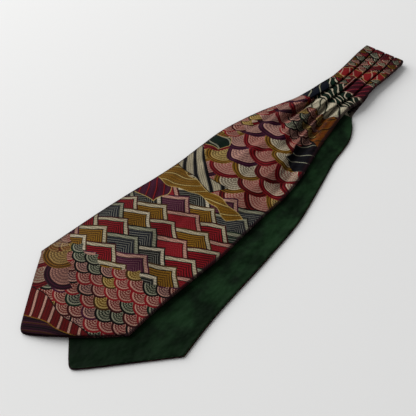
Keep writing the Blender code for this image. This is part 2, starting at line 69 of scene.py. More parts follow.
def along(table, column, place, key="x"):
    # the column's value at this place, on a smooth curve through the table's rows
    x = np.asarray(table[key], float)
    y = np.asarray(table[column], float)
    slope = np.gradient(y, x)
    place = np.clip(np.asarray(place, float), x[0], x[-1])
    i = np.clip(np.searchsorted(x, place, side="right") - 1, 0, len(x) - 2)
    step = x[i + 1] - x[i]
    part = (place - x[i]) / step
    a = (1 + 2 * part) * (1 - part) ** 2
    b = part * (1 - part) ** 2 * step
    c = part * part * (3 - 2 * part)
    e = part * part * (part - 1) * step
    return a * y[i] + b * slope[i] + c * y[i + 1] + e * slope[i + 1]


def throughPoints(values, at):
    # smooth curve through evenly keyed values, read at fractional places
    values = np.asarray(values, float)
    i = np.clip(np.floor(at).astype(int), 0, len(values) - 2)
    t = at - i
    before = values[np.clip(i - 1, 0, len(values) - 1)]
    after = values[np.clip(i + 2, 0, len(values) - 1)]
    a, b = values[i], values[i + 1]
    slopeA, slopeB = (b - before) / 2, (after - a) / 2
    square, cube = t * t, t * t * t
    return (
        (2 * cube - 3 * square + 1) * a + (cube - 2 * square + t) * slopeA
        + (3 * square - 2 * cube) * b + (cube - square) * slopeB
    )


def roundedSize(value):
    return np.hypot(value, edge["pointRound"])


# Neckband: knife pleats, seen across the band

def pleatCorners(pressed):
    angles = np.arange(math.pi / 2, -math.pi / 2 - 0.01, -band["turnStep"])
    upperTurn = (band["outer"] + band["middle"]) / 2
    lowerTurn = (band["middle"] + band["inner"]) / 2
    radius = band["turnRadius"]
    points = []
    for k in range(band["pleats"] + 1):
        face = firstFace if k == 0 else pleatFace
        for v0, h0, v1, h1 in zip(face["v"], face["h"], face["pressedV"], face["pressedH"]):
            points.append((k * band["pitch"] + v0 + (v1 - v0) * pressed, h0 + (h1 - h0) * pressed))
        nextEdge = (k + 1) * band["pitch"] - cloth["wall"] / 2
        if k == band["pleats"]:
            points.append((nextEdge - band["hemTurnRight"], band["outer"]))
            break
        ridge = nextEdge - radius
        for a in angles:
            points.append((ridge + radius * math.cos(a), upperTurn + radius * math.sin(a)))
        for a in angles:
            points.append((ridge - band["depth"] - radius * math.cos(a), lowerTurn + radius * math.sin(a)))
    return np.array(points)


def runningShares(v, h):
    steps = np.hypot(np.diff(v), np.diff(h))
    total = np.concatenate([[0.0], np.cumsum(steps)])
    return total / total[-1]


cornerShares = runningShares(*pleatCorners(0.0).T)
corners = len(cornerShares)
columnKeys = np.linspace(0, corners - 1, (corners - 1) * fineness["perColumn"] + 1)
shares = np.interp(columnKeys, np.arange(corners), cornerShares)
columns = len(shares)


def pleatSection(pressed):
    # distance from the band's left edge, and height over its inner side, for each column
    points = pleatCorners(pressed)
    return throughPoints(points[:, 0], columnKeys), throughPoints(points[:, 1], columnKeys)


def turnShares():
    # shares of the cut width at each pleat's folded edge and at the turn hidden under it
    turnPoints = round(math.pi / band["turnStep"]) + 1
    facePoints = len(pleatFace["v"])
    found = []
    for k in range(band["pleats"]):
        first = k * (facePoints + 2 * turnPoints) + facePoints
        found.append(cornerShares[first : first + turnPoints].mean())
        found.append(cornerShares[first + turnPoints : first + 2 * turnPoints].mean())
    return np.array(found)


def spread(wanted, across, heights, turns=(), held=0.0):
    # places along a section whose distances over the cloth are these shares of its length
    steps = np.hypot(np.diff(across), np.diff(heights))
    length = np.concatenate([[0.0], np.cumsum(steps)])
    target = wanted * length[-1]
    if held > 0:
        atTurns = np.interp(turns, across, length)
        knots = np.concatenate([[0.0], turnShares(), [1.0]])
        lengths = np.concatenate([[0.0], atTurns, [length[-1]]])
        target = target + (np.interp(wanted, knots, lengths) - target) * held
    return np.interp(target, length, across)


def evenShares(part):
    return shares + (np.linspace(0, 1, columns) - shares) * part


def centred(places, at):
    # moves the nearest place onto a value, and the others less the further away they are
    middle = int(np.argmin(np.abs(places - at)))
    index = np.arange(len(places))
    before = index / max(middle, 1)
    after = (len(places) - 1 - index) / (len(places) - 1 - middle)
    return places + (at - places[middle]) * np.minimum(before, after)


# Under blade, along its own axis from the fold

underOutline = dict(
    d=(5, 30, 50, 71, 93, 115, 134, 151, 171, 190, 212, 235, 273, 312, 368, 463, 500),
    left=(27, 27, 27, 26, 26, 27, 27, 34, 42, 46, 49, 52, 57, 62, 64, 65, 66),
    right=(-28, -27, -22.5, -22.5, -25.8, -27, -29, -39, -47, -49.5, -51, -55, -62, -68, -69.5, -69.5, -72),
)
underPleats = dict(d=(110, 122, 132, 140, 155, 175, 190), height=(2.8, 3.6, 3.4, 2.6, 1.2, 0.3, 0))
underBlade = dict(
    valleyShift=0.02, valleySteep=0.06, valleyGentle=0.16, pleatedTo=110, openFrom=140, even=(140, 230),
    point=574.0, pointSide=-3.0, pointSlope=1.03, halfWidth=69.0,
    liningLoft=0.8, loftOver=(3, 30), liningNeck=139.0, liningColumns=65,
)
underPoint = dict(start=(0, 14, 36, 64, 96, 128, 160), taper=(1.0, 0.95, 0.86, 0.7, 0.48, 0.26, 0.1))
underBladeEnd = 375


def underDirections():
    away = np.array([-math.cos(fold["turn"]), -math.sin(fold["turn"])])
    left = np.array([-math.sin(fold["turn"]), math.cos(fold["turn"])])
    return away, left


def toUnder(x, y):
    away, left = underDirections()
    dx, dy = np.asarray(x, float) - fold["x"], np.asarray(y, float) - fold["y"]
    return dx * away[0] + dy * away[1], dx * left[0] + dy * left[1]


def fromUnder(d, v):
    away, left = underDirections()
    return fold["x"] + d * away[0] + v * left[0], fold["y"] + d * away[1] + v * left[1]


def insideUnder(d, v):
    fromLeft = along(underOutline, "left", d, "d") - v
    fromRight = v - along(underOutline, "right", d, "d")
    slope = underBlade["pointSlope"]
    fromPoint = underBlade["point"] - d - slope * np.abs(v - underBlade["pointSide"])
    return np.minimum(np.minimum(fromLeft, fromRight), fromPoint / math.hypot(1, slope))


def pleatHeight(d):
    return np.where(np.asarray(d) > underPleats["d"][-1], 0.0, along(underPleats, "height", d, "d"))


def liningHeight(d, v):
    loft = underBlade["liningLoft"] * smooth(*underBlade["loftOver"], insideUnder(d, v))
    return 1.5 * cloth["wall"] + cloth["seamGap"] + pleatHeight(d) + loft


def support(x, y):
    # lowest height of the upper blade: over the under blade, and down to the table beside it
    d, v = toUnder(x, y)
    onUnder = liningHeight(d, v) + cloth["wall"] / 2 + cloth["stackGap"]
    return onUnder * smooth(*upperBlade["drape"], insideUnder(d, v))


# Upper blade, from its point

upperOutline = dict(
    x=(70, 105, 150, 185, 215, 250, 285, 320, 350, 380, 405, 430, 450, 470, 490, 510, 535, 560, 582),
    left=(60, 59, 57, 54, 50.5, 48.5, 49.5, 50, 46, 40, 31.5, 21.5, 17.5, 16, 14, 15, 18, 20.5, 21),
    right=(-75, -74.5, -76, -77, -75, -73, -72, -67, -59.5, -51, -46.5, -42, -40.5, -43, -41, -39, -39, -38, -34),
)
upperTurn = dict(
    x=(0, 150, 300, 330, 360, 390, 415, 440, 463),
    left=(0.8, 0.9, 0.9, 0.9, 1.0, 1.0, 1.0, 0.8, 0.7),
    right=(0.9, 1.5, 1.6, 1.9, 2.2, 2.4, 2.3, 1.8, 1.4),
)
upperLoft = dict(x=(0, 50, 100, 200, 300, 385), loft=(0.6, 1.5, 2.2, 2.6, 3.4, 5.0))
edgeLift = dict(x=(50, 90, 150, 210, 265), lift=(0, 1.3, 1.9, 1.2, 0))
upperRise = dict(
    x=(330, 380, 400, 420, 440, 463),
    crest=(9.8, 11.8, 13.0, 13.5, 13.3, 11.0),
    left=(2.6, 3.4, 4.0, 5.6, 7.8, 8.9),
    right=(5.4, 6.2, 7.4, 9.4, 10.6, 10.3),
)
upperBlade = dict(
    riseFrom=330, riseTo=385, crownPower=2.8, edgePower=8, pointLeft=1.19, pointRight=0.62, pointCurve=0.0033,
    pleatedFrom=463, openBelow=430, even=(330, 430), heldTurns=(380, 425), bladeFrom=198, liningEnd=326.0,
    drape=(-42.0, -6.0), overLining=0.85, liningFades=(322, 345), softRest=0.7,
)
upperPoint = dict(
    start=(0, 12, 27, 44, 62, 82, 103, 125, 148, 172, 198),
    taper=(1.0, 0.96, 0.9, 0.81, 0.7, 0.57, 0.43, 0.28, 0.15, 0.06, 0.0),
)
# The three pleats open into valleys that fan out down the blade.
valleys = (
    dict(
        x=(355, 370, 385, 400, 415, 430, 440, 463),
        y=(5, 5, 4.5, 4, 3.5, 3, 2.5, 0.7),
        depth=(0, 2.0, 4.4, 6.8, 7.8, 7.6, 6.6, 5.0),
    ),
    dict(
        x=(310, 335, 355, 370, 385, 400, 415, 430, 440, 463),
        y=(-25, -22.5, -21, -20, -18.5, -17.5, -16.5, -15.5, -14.5, -13.4),
        depth=(0, 1.5, 3.0, 4.6, 6.6, 8.2, 8.6, 7.8, 6.7, 5.0),
    ),
    dict(
        x=(260, 285, 310, 335, 355, 370, 385, 400, 415, 430, 440, 463),
        y=(-54, -52, -49, -44, -38.5, -35, -32, -29, -26.5, -26.5, -27, -27.5),
        depth=(0, 2.2, 4.0, 5.4, 6.2, 6.9, 7.6, 8.2, 8.0, 7.4, 6.6, 5.0),
    ),
)
valleySides = dict(
    x=(260, 300, 340, 370, 400, 415, 430, 440),
    steep=(14, 10, 8, 6.5, 5, 3.8, 2.5, 2.0),
    gentle=(26, 24, 22, 15, 10, 10, 11, 11),
)
# Soft creases laid in one by one: from and to, half width, and height (a trough is negative).
bladeCreases = (
    dict(start=(300, 6), end=(372, 9), width=7, height=-0.9),
    dict(start=(246, -24), end=(330, -13), width=6, height=-1.2),
    dict(start=(196, -52), end=(290, -60), width=8, height=-1.0),
    dict(start=(312, 30), end=(410, 15), width=4.5, height=-1.5),
    dict(start=(318, 17), end=(404, 8), width=6, height=0.8),
    dict(start=(345, -52), end=(395, -42), width=4, height=0.8),
    dict(start=(120, 20), end=(188, 34), width=12, height=0.5),
    dict(start=(60, -34), end=(132, -46), width=11, height=0.45),
    dict(start=(226, 14), end=(290, 26), width=10, height=0.5),
    dict(start=(352, 14), end=(412, 10), width=3.5, height=0.7),
    dict(start=(362, -8), end=(410, -6), width=3.5, height=0.7),
    dict(start=(236, 32), end=(326, 24), width=6, height=-1.2),
    dict(start=(258, 2), end=(356, -5), width=5, height=1.5),
    dict(start=(276, -36), end=(352, -27), width=5, height=1.4),
    dict(start=(206, -28), end=(292, -42), width=6, height=1.2),
    dict(start=(146, -22), end=(240, -6), width=7, height=-1.0),
    dict(start=(322, -38), end=(388, -46), width=5, height=-1.2),
    dict(start=(330, 34), end=(398, 20), width=4, height=1.0),
    dict(start=(366, 26), end=(436, 13), width=2.4, height=-1.5),
    dict(start=(356, 20), end=(420, 10), width=2.6, height=1.2),
    dict(start=(372, -9), end=(430, -9), width=2.4, height=-1.1),
    dict(start=(376, -44), end=(434, -35), width=2.6, height=-1.1),
    dict(start=(340, -14), end=(392, -12), width=3.2, height=1.2),
    dict(start=(296, 40), end=(362, 33), width=4.5, height=-1.1),
    dict(start=(256, -64), end=(346, -52), width=4.5, height=-2.0),
    dict(start=(252, -46), end=(330, -38), width=5, height=1.3),
    dict(start=(182, 26), end=(262, 34), width=6, height=-0.8),
    dict(start=(168, -56), end=(236, -66), width=7, height=0.9),
    dict(start=(290, -56), end=(360, -44), width=3.2, height=1.1),
    dict(start=(296, -4), end=(350, -16), width=4, height=-1.1),
    dict(start=(214, 6), end=(270, 20), width=6, height=0.9),
    dict(start=(92, 6), end=(166, -8), width=9, height=-0.5),
)


def creased(x, y, creases):
    # height added by soft creases that fade at both ends
    total = np.zeros_like(np.asarray(y, float))
    for crease in creases:
        start, end = np.array(crease["start"], float), np.array(crease["end"], float)
        run = end - start
        length = np.linalg.norm(run)
        run /= length
        dx, dy = x - start[0], y - start[1]
        lengthwise = (dx * run[0] + dy * run[1]) / length
        sideways = -dx * run[1] + dy * run[0]
        fade = smooth(0, 0.45, lengthwise) * smooth(0, 0.45, 1 - lengthwise)
        total += crease["height"] * fade * np.exp(-((sideways / crease["width"]) ** 2))
    return total


def valleyDepth(x, y):
    steep = along(valleySides, "steep", x)
    gentle = along(valleySides, "gentle", x)
    total = np.zeros_like(np.asarray(y, float))
    for valley in valleys:
        depth = np.where(x <= valley["x"][0], 0.0, along(valley, "depth", x))
        rightOf = along(valley, "y", x) - y
        shape = np.where(
            rightOf < 0,
            smooth(-steep, 0, np.minimum(rightOf, 0)),
            1 - smooth(0, gentle, np.maximum(rightOf, 0)),
        )
        total = np.maximum(total, depth * shape)
    return total


def upperHeight(x, y, share):
    turn = along(upperTurn, "left", x) * (1 - share) + along(upperTurn, "right", x) * share
    crown = 1 - np.abs(2 * share - 1) ** upperBlade["crownPower"]
    low = support(x, y) + cloth["wall"] / 2 + 2 * turn + along(upperLoft, "loft", x) * crown
    low += along(edgeLift, "lift", x) * share**6
    rim = along(upperRise, "left", x) * (1 - share) + along(upperRise, "right", x) * share
    high = rim + (along(upperRise, "crest", x) - rim) * crown
    part = smooth(upperBlade["riseFrom"], upperBlade["riseTo"], x)
    inside = 1 - np.abs(2 * share - 1) ** upperBlade["edgePower"]
    height = low + (high - low) * part - (valleyDepth(x, y) - creased(x, y, bladeCreases)) * inside
    # deep folds come to rest on the linings below
    lowest = support(x, y) + cloth["wall"] / 2 + upperBlade["overLining"] * (1 - smooth(*upperBlade["liningFades"], x))
    over = height - lowest
    return lowest + (over + np.hypot(over, upperBlade["softRest"])) / 2


def pointEdge(y):
    # how far the point's edge lies behind its tip, which is rounded
    left, right = upperBlade["pointLeft"], upperBlade["pointRight"]
    straight = (left + right) / 2 * roundedSize(y) + (left - right) / 2 * y
    return straight + upperBlade["pointCurve"] * np.maximum(-y, 0) ** 2


def upperBladeRow(start, taper):
    xLeft = start + taper * pointEdge(upperOutline["left"][0])
    xRight = start + taper * pointEdge(upperOutline["right"][0])
    left = along(upperOutline, "left", xLeft) - along(upperTurn, "left", xLeft) - cloth["wall"] / 2
    right = along(upperOutline, "right", xRight) + along(upperTurn, "right", xRight) + cloth["wall"] / 2
    fine = np.linspace(left, right, fineness["samples"])
    xFine = start + taper * pointEdge(fine)
    heights = upperHeight(xFine, fine, (left - fine) / (left - right))
    turns = []
    for valley in valleys:
        bottom = float(along(valley, "y", start))
        turns += [left - bottom - float(along(valleySides, "steep", start)), left - bottom]
    wanted = evenShares(1 - float(smooth(*upperBlade["even"], start)))
    y = left - spread(wanted, left - fine, heights, turns, float(smooth(*upperBlade["heldTurns"], start)))
    if taper > 0:
        y = centred(y, 0.0)
    x = start + taper * pointEdge(y)
    return np.stack([x, y, upperHeight(x, y, (left - y) / (left - right))], axis=1)


def upperBandRow(x, pressed=0.0):
    v, h = pleatSection(pressed)
    left, right = along(upperOutline, "left", x), along(upperOutline, "right", x)
    nominal = (band["pleats"] + 1) * band["pitch"]
    return left - v * (left - right) / nominal - fold["y"], h


def upperBandPoints(x):
    pressed = band["pressed"] * float(smooth(*band["pressedFrom"], x))
    pressed += (1 - band["pressed"]) * float(smooth(*band["foldPressed"], x))
    across, h = upperBandRow(x, pressed)
    splay = math.tan(fold["turn"] / 2) * float(smooth(fold["x"] - fold["splayFrom"], fold["x"], x))
    level = 1 - smooth(upperBlade["pleatedFrom"], fold["x"] - fold["levelNear"], x)
    base = fold["height"] + fold["inside"] + fold["rise"] * level
    return np.stack([x - splay * across, fold["y"] + across, base + h], axis=1)


def foldPoints(angle):
    half = fold["turn"] / 2
    across, h = upperBandRow(fold["x"], 1.0)
    radius = fold["inside"] + h
    outward = radius * math.sin(angle)
    x = fold["x"] - math.sin(half) * across + math.cos(half) * outward
    y = fold["y"] + math.cos(half) * across + math.sin(half) * outward
    return np.stack([x, y, fold["height"] + radius * math.cos(angle)], axis=1)


def lowerBandPoints(d):
    v, h = pleatSection(1.0)
    left, right = along(underOutline, "left", d, "d"), along(underOutline, "right", d, "d")
    across = left - v * (left - right) / ((band["pleats"] + 1) * band["pitch"])
    splay = math.sin(fold["turn"] / 2) * (1 - float(smooth(0, fold["splayFrom"], d)))
    x, y = fromUnder(d - splay * across, across)
    return np.stack([x, y, fold["height"] - fold["inside"] - h], axis=1)


def underValley(k):
    return (k + 1) / (band["pleats"] + 1) + underBlade["valleyShift"]


def underHeight(d, v, left, right):
    share = (left - v) / (left - right)
    total = np.zeros_like(v)
    for k in range(band["pleats"]):
        rightOf = share - underValley(k)
        shape = np.where(
            rightOf < 0,
            smooth(-underBlade["valleySteep"], 0, np.minimum(rightOf, 0)),
            1 - smooth(0, underBlade["valleyGentle"], np.maximum(rightOf, 0)),
        )
        total = np.maximum(total, shape)
    return cloth["wall"] / 2 + pleatHeight(d) * total


def underBladeRow(start, taper, inset, wanted, height):
    slope = underBlade["pointSlope"]
    cornerAt = start - taper * slope * underBlade["halfWidth"]
    left = along(underOutline, "left", cornerAt, "d") - inset
    right = along(underOutline, "right", cornerAt, "d") + inset
    fine = np.linspace(left, right, fineness["samples"])
    dFine = start - taper * slope * roundedSize(fine - underBlade["pointSide"])
    turns = []
    for k in range(band["pleats"]):
        turns += [(underValley(k) - underBlade["valleySteep"]) * (left - right), underValley(k) * (left - right)]
    held = 1 - float(smooth(*underBlade["even"], start)) if len(wanted) == columns else 0.0
    v = left - spread(wanted, left - fine, height(dFine, fine, left, right), turns, held)
    if taper > 0:
        v = centred(v, underBlade["pointSide"])
    d = start - taper * slope * roundedSize(v - underBlade["pointSide"])
    x, y = fromUnder(d, v)
    return np.stack([x, y, height(d, v, left, right)], axis=1), d


# Making sheets

def rimPath(rows, across):
    # grid places along the left side, the point and the right side
    path = [(i, 0) for i in range(rows - 1, 0, -1)]
    path += [(0, j) for j in range(across)]
    return path + [(i, across - 1) for i in range(1, rows)]


def turnedEdges(grid, turns, hems, inwardSides):
    # strips that turn the cloth's edge round under itself: left side, point, right side
    rows, across = grid.shape[:2]
    path = rimPath(rows, across)
    places = np.array([grid[i, j] for i, j in path])
    tangent = np.gradient(places, axis=0)
    strips, reach = [], []
    for n, (i, j) in enumerate(path):
        side = inwardSides[i]
        neighbour = grid[min(i + 1, rows - 1) if i == 0 else i, min(max(j, 1), across - 2)]
        inward = np.cross(tangent[n], side)
        inward /= np.linalg.norm(inward)
        if np.dot(inward, neighbour - places[n]) < 0:
            inward = -inward
        share = j / (across - 1)
        turn = turns[i][0] * (1 - share) + turns[i][1] * share
        hem = hems[i][0] * (1 - share) + hems[i][1] * share
        strip, lengths = [], []
        for k in range(1, edge["steps"] + 1):
            angle = math.pi * k / edge["steps"]
            strip.append(places[n] - inward * turn * math.sin(angle) + side * turn * (1 - math.cos(angle)))
            lengths.append(turn * angle)
        strip.append(strip[-1] + inward * hem)
        lengths.append(lengths[-1] + hem)
        strips.append(strip)
        reach.append(lengths)
    return path, np.array(strips), np.array(reach)


def roundCorners(grid):
    for j, nextJ in ((0, 1), (grid.shape[1] - 1, grid.shape[1] - 2)):
        inward = (grid[0, nextJ] - grid[0, j]) + (grid[1, j] - grid[0, j])
        inward[2] = 0
        grid[0, j] += inward / np.linalg.norm(inward) * edge["cornerRound"]
    return grid


def wearOf(grid):
    # rubbing on the cut sheet: most at its edges, and some along the ridges of its folds
    rows, across = grid.shape[:2]
    fromSide = np.minimum(np.arange(across), np.arange(across)[::-1]).astype(float)
    fromEnd = np.arange(rows).astype(float)
    atEdge = np.exp(-np.minimum(fromSide[None, :], fromEnd[:, None]) / 1.5)
    height = grid[:, :, 2]
    bend = height - (np.roll(height, 3, axis=1) + np.roll(height, -3, axis=1)) / 2
    bend[:, :3] = bend[:, -3:] = 0
    return np.clip(atEdge + smooth(0.15, 0.9, bend) * 0.8, 0, 1)


def foldShadeOf(grid):
    # how deep in a fold each point lies, where the print is darkened as painted shade
    height = grid[:, :, 2]
    found = np.zeros_like(height)
    for reach in (3, 6, 10):
        bend = (np.roll(height, reach, axis=1) + np.roll(height, -reach, axis=1)) / 2 - height
        bend[:, :reach] = bend[:, -reach:] = 0
        found = np.maximum(found, smooth(0.2, 2.2, bend))
    return found


def sheet(name, grid, flat, material, strips=None, wall=None):
    # thin cloth through the grid's points; flat holds each point's place on the cut cloth
    rows, across = grid.shape[:2]
    points, cut, faces = [grid.reshape(-1, 3)], [flat.reshape(-1, 2)], []
    index = np.arange(rows * across).reshape(rows, across)
    a, b, c, d = index[:-1, :-1], index[:-1, 1:], index[1:, 1:], index[1:, :-1]
    faces.append(np.stack([a, b, c, d], axis=-1).reshape(-1, 4))
    if strips is not None:
        path, rings, reach = strips
        outward = np.array([[-1.0 if i == 0 else 0.0, (1.0 if j == 0 else -1.0 if j == across - 1 else 0.0)] for i, j in path])
        last = np.array([index[i, j] for i, j in path])
        started = rows * across
        rimCut = np.array([flat[i, j] for i, j in path])
        for k in range(rings.shape[1]):
            fresh = started + np.arange(len(path))
            points.append(rings[:, k])
            cut.append(rimCut + outward * reach[:, k : k + 1])
            faces.append(np.stack([last[:-1], last[1:], fresh[1:], fresh[:-1]], axis=-1)[:, ::-1])
            last = fresh
            started += len(path)
    points = np.concatenate(points) * mm + tipPlace
    cut = np.concatenate(cut) * mm
    faces = np.concatenate(faces)
    mesh = bpy.data.meshes.new(name)
    mesh.from_pydata(points.tolist(), [], faces.tolist())
    layer = mesh.uv_layers.new(name="cutCloth")
    loops = np.empty(len(mesh.loops), np.int32)
    mesh.loops.foreach_get("vertex_index", loops)
    layer.data.foreach_set("uv", cut[loops].astype(np.float32).ravel())
    # rubbing at edges and ridges; the turned rims take the full value, so the print paints them dark all round as shade
    rubbed = np.concatenate([wearOf(grid).ravel(), np.ones(len(points) - rows * across)])
    mesh.attributes.new("wearAndRimShade", "FLOAT", "POINT").data.foreach_set("value", rubbed.astype(np.float32))
    # depth in the folds, for the painted shade on the print; none on the turned rims
    foldShade = np.concatenate([foldShadeOf(grid).ravel(), np.zeros(len(points) - rows * across)])
    mesh.attributes.new("foldShade", "FLOAT", "POINT").data.foreach_set("value", foldShade.astype(np.float32))
    mesh.shade_smooth()
    mesh.materials.append(material)
    obj = bpy.data.objects.new(name, mesh)
    bpy.context.scene.collection.objects.link(obj)
    thick = obj.modifiers.new("wall", "SOLIDIFY")
    thick.thickness = (wall or cloth["shownWall"]) * mm
    thick.offset = 0.0
    return obj


def cutPlaces(grid, lengthwise, leftEdge):
    # each point's place on the cut cloth: along it, and left of its middle line
    steps = np.hypot(np.diff(grid[:, :, 1], axis=1), np.diff(grid[:, :, 2], axis=1))
    arc = np.concatenate([np.zeros((len(grid), 1)), np.cumsum(steps, axis=1)], axis=1)
    return np.stack([lengthwise, leftEdge[:, None] - arc], axis=-1)


def finerRows(table, per):
    keys = np.linspace(0, len(table["start"]) - 1, (len(table["start"]) - 1) * per + 1)
    return list(zip(throughPoints(table["start"], keys), np.clip(throughPoints(table["taper"], keys), 0, 1)))


def upperShell(material):
    # upper blade, upper run of the neckband and its fold, as far as the centre seam
    rows, cutX, cutLeft, turns, hems, sides = [], [], [], [], [], []

    def add(points, lengthwise, leftEdge, turn, hem, side):
        rows.append(points)
        cutX.append(lengthwise)
        cutLeft.append(leftEdge)
        turns.append(turn)
        hems.append(hem)
        sides.append(np.array(side, float))

    def turnAt(x):
        return float(along(upperTurn, "left", x)), float(along(upperTurn, "right", x))

    down = (0, 0, -1)
    bladeHem = (edge["hem"], edge["hem"])
    bladeRows = finerRows(upperPoint, fineness["perPointRow"])
    count = round((upperBlade["openBelow"] - upperBlade["bladeFrom"]) / fineness["bladeStep"])
    bladeRows += [(x, 0.0) for x in np.linspace(upperBlade["bladeFrom"], upperBlade["openBelow"], count + 1)[1:-1]]
    for n, (start, taper) in enumerate(bladeRows):
        if n == 0:
            start += (upperTurn["left"][0] + cloth["wall"] / 2) * edge["pointSetIn"]
        points = upperBladeRow(start, taper)
        turn = turnAt(start + taper * pointEdge(upperOutline["left"][0]))
        add(points, points[:, 0], points[0, 1], turn, bladeHem, down)
    bandTurn = (band["hemTurnLeft"], band["hemTurnRight"])
    bandHem = (band["hemLeft"], band["hemRight"])
    count = round((upperBlade["pleatedFrom"] - upperBlade["openBelow"]) / fineness["openingStep"])
    for x in np.linspace(upperBlade["openBelow"], upperBlade["pleatedFrom"], count + 1)[:-1]:
        part = (upperBlade["pleatedFrom"] - x) / (upperBlade["pleatedFrom"] - upperBlade["openBelow"])
        points = upperBladeRow(x, 0.0) * part + upperBandPoints(x) * (1 - part)
        hem = tuple(edge["hem"] + (wide - edge["hem"]) * (1 - part) for wide in bandHem)
        add(points, points[:, 0], points[0, 1], turnAt(x), hem, down)
    count = round((fold["x"] - upperBlade["pleatedFrom"]) / fineness["bandStep"])
    for x in np.linspace(upperBlade["pleatedFrom"], fold["x"], count + 1)[:-1]:
        points = upperBandPoints(x)
        add(points, np.full(columns, x), points[0, 1], bandTurn, bandHem, down)
    leftEdge = rows[-1][0, 1]
    half = fold["turn"] / 2
    for a in np.linspace(0, math.pi, fold["steps"] + 1):
        inward = (-math.sin(a) * math.cos(half), -math.sin(a) * math.sin(half), -math.cos(a))
        reach = np.full(columns, fold["x"] + (fold["inside"] + band["outer"]) * a)
        add(foldPoints(a), reach, leftEdge, bandTurn, bandHem, inward)
    reach = cutX[-1] + fold["seamAt"]
    add(lowerBandPoints(fold["seamAt"]), reach, leftEdge, bandTurn, bandHem, (0, 0, 1))
    grid = roundCorners(np.array(rows))
    flat = cutPlaces(grid, np.array(cutX), np.array(cutLeft))
    return sheet("shellUpper", grid, flat, material, turnedEdges(grid, turns, hems, sides))


def underShell(material):
    # lower run of the neckband and the under blade, print side down
    rows, cutX, turns, hems = [], [], [], []
    inset = rim["turn"] + rim["wall"] / 2
    bladeTurn, bladeHem = (rim["turn"], rim["turn"]), (edge["hem"], edge["hem"])
    for n, (start, taper) in enumerate(finerRows(underPoint, fineness["perPointRow"])):
        start = inset * edge["pointSetIn"] if n == 0 else start
        points, d = underBladeRow(underBlade["point"] - start, taper, inset, np.linspace(0, 1, columns), underHeight)
        rows.append(points)
        cutX.append(d)
        turns.append(bladeTurn)
        hems.append(bladeHem)
    firstBlade = underBlade["point"] - underPoint["start"][-1]
    count = round((firstBlade - underBlade["openFrom"]) / fineness["bladeStep"])
    for d in np.linspace(firstBlade, underBlade["openFrom"], count + 1)[1:]:
        taper = underPoint["taper"][-1] * float(smooth(underBladeEnd, firstBlade, d))
        wanted = evenShares(float(smooth(*underBlade["even"], d)))
        points, places = underBladeRow(d, taper, inset, wanted, underHeight)
        rows.append(points)
        cutX.append(places)
        turns.append(bladeTurn)
        hems.append(bladeHem)
    bandTurn = (band["hemTurnLeft"], band["hemTurnRight"])
    bandHem = (band["hemLeft"], band["hemRight"])
    count = round((underBlade["openFrom"] - underBlade["pleatedTo"]) / fineness["openingStep"])
    for d in np.linspace(underBlade["openFrom"], underBlade["pleatedTo"], count + 1)[1:]:
        part = (d - underBlade["pleatedTo"]) / (underBlade["openFrom"] - underBlade["pleatedTo"])
        opened, places = underBladeRow(d, 0.0, inset, shares, underHeight)
        rows.append(opened * part + lowerBandPoints(d) * (1 - part))
        cutX.append(places)
        turns.append((rim["turn"], rim["turn"] + (band["hemTurnRight"] - rim["turn"]) * (1 - part)))
        hems.append(tuple(edge["hem"] + (wide - edge["hem"]) * (1 - part) for wide in bandHem))
    count = round((underBlade["pleatedTo"] - fold["seamAt"]) / fineness["bandStep"])
    for d in np.linspace(underBlade["pleatedTo"], fold["seamAt"] + 0.6, count + 1)[1:]:
        rows.append(lowerBandPoints(d))
        cutX.append(np.full(columns, d))
        turns.append(bandTurn)
        hems.append(bandHem)
    grid = roundCorners(np.array(rows))
    sides = [np.array((0.0, 0.0, 1.0))] * len(rows)
    flat = cutPlaces(grid, underBlade["point"] - np.array(cutX), grid[:, 0, 1])
    return sheet("shellUnder", grid, flat, material, turnedEdges(grid, turns, hems, sides), rim["wall"])


# Linings

liningCreases = (
    dict(start=(20, -66), end=(76, -80), width=9, height=0.6),
    dict(start=(60, -98), end=(130, -86), width=7, height=-0.5),
    dict(start=(120, -80), end=(172, -104), width=8, height=0.6),
    dict(start=(166, -84), end=(250, -92), width=7, height=0.6),
    dict(start=(236, -78), end=(304, -96), width=8, height=-0.5),
    dict(start=(270, -84), end=(352, -62), width=6, height=0.7),
    dict(start=(330, -66), end=(430, -46), width=7, height=0.6),
    dict(start=(300, -92), end=(372, -74), width=6, height=-0.5),
    dict(start=(372, -60), end=(420, -66), width=5, height=0.5),
)


def underLining(material):
    inset = rim["liningInset"]
    wanted = np.linspace(0, 1, underBlade["liningColumns"])
    rows, cutX = [], []

    def height(d, v, left, right):
        x, y = fromUnder(d, v)
        loose = smooth(0, 12, insideUnder(d, v))
        return liningHeight(d, v) + rim["liningRise"] + creased(x, y, liningCreases) * loose

    for start, taper in finerRows(underPoint, fineness["perPointRow"]):
        tip = underBlade["point"] - max(start, inset * edge["pointSetIn"])
        points, d = underBladeRow(tip, taper, inset, wanted, height)
        rows.append(points)
        cutX.append(d)
    firstBlade = underBlade["point"] - underPoint["start"][-1]
    count = round((firstBlade - underBlade["liningNeck"]) / fineness["bladeStep"])
    for d in np.linspace(firstBlade, underBlade["liningNeck"], count + 1)[1:]:
        taper = underPoint["taper"][-1] * float(smooth(underBladeEnd, firstBlade, d))
        points, places = underBladeRow(d, taper, inset, wanted, height)
        rows.append(points)
        cutX.append(places)
    grid = roundCorners(np.array(rows))
    flat = cutPlaces(grid, underBlade["point"] - np.array(cutX), grid[:, 0, 1])
    return sheet("liningUnder", grid, flat, material, wall=rim["liningWall"]), grid


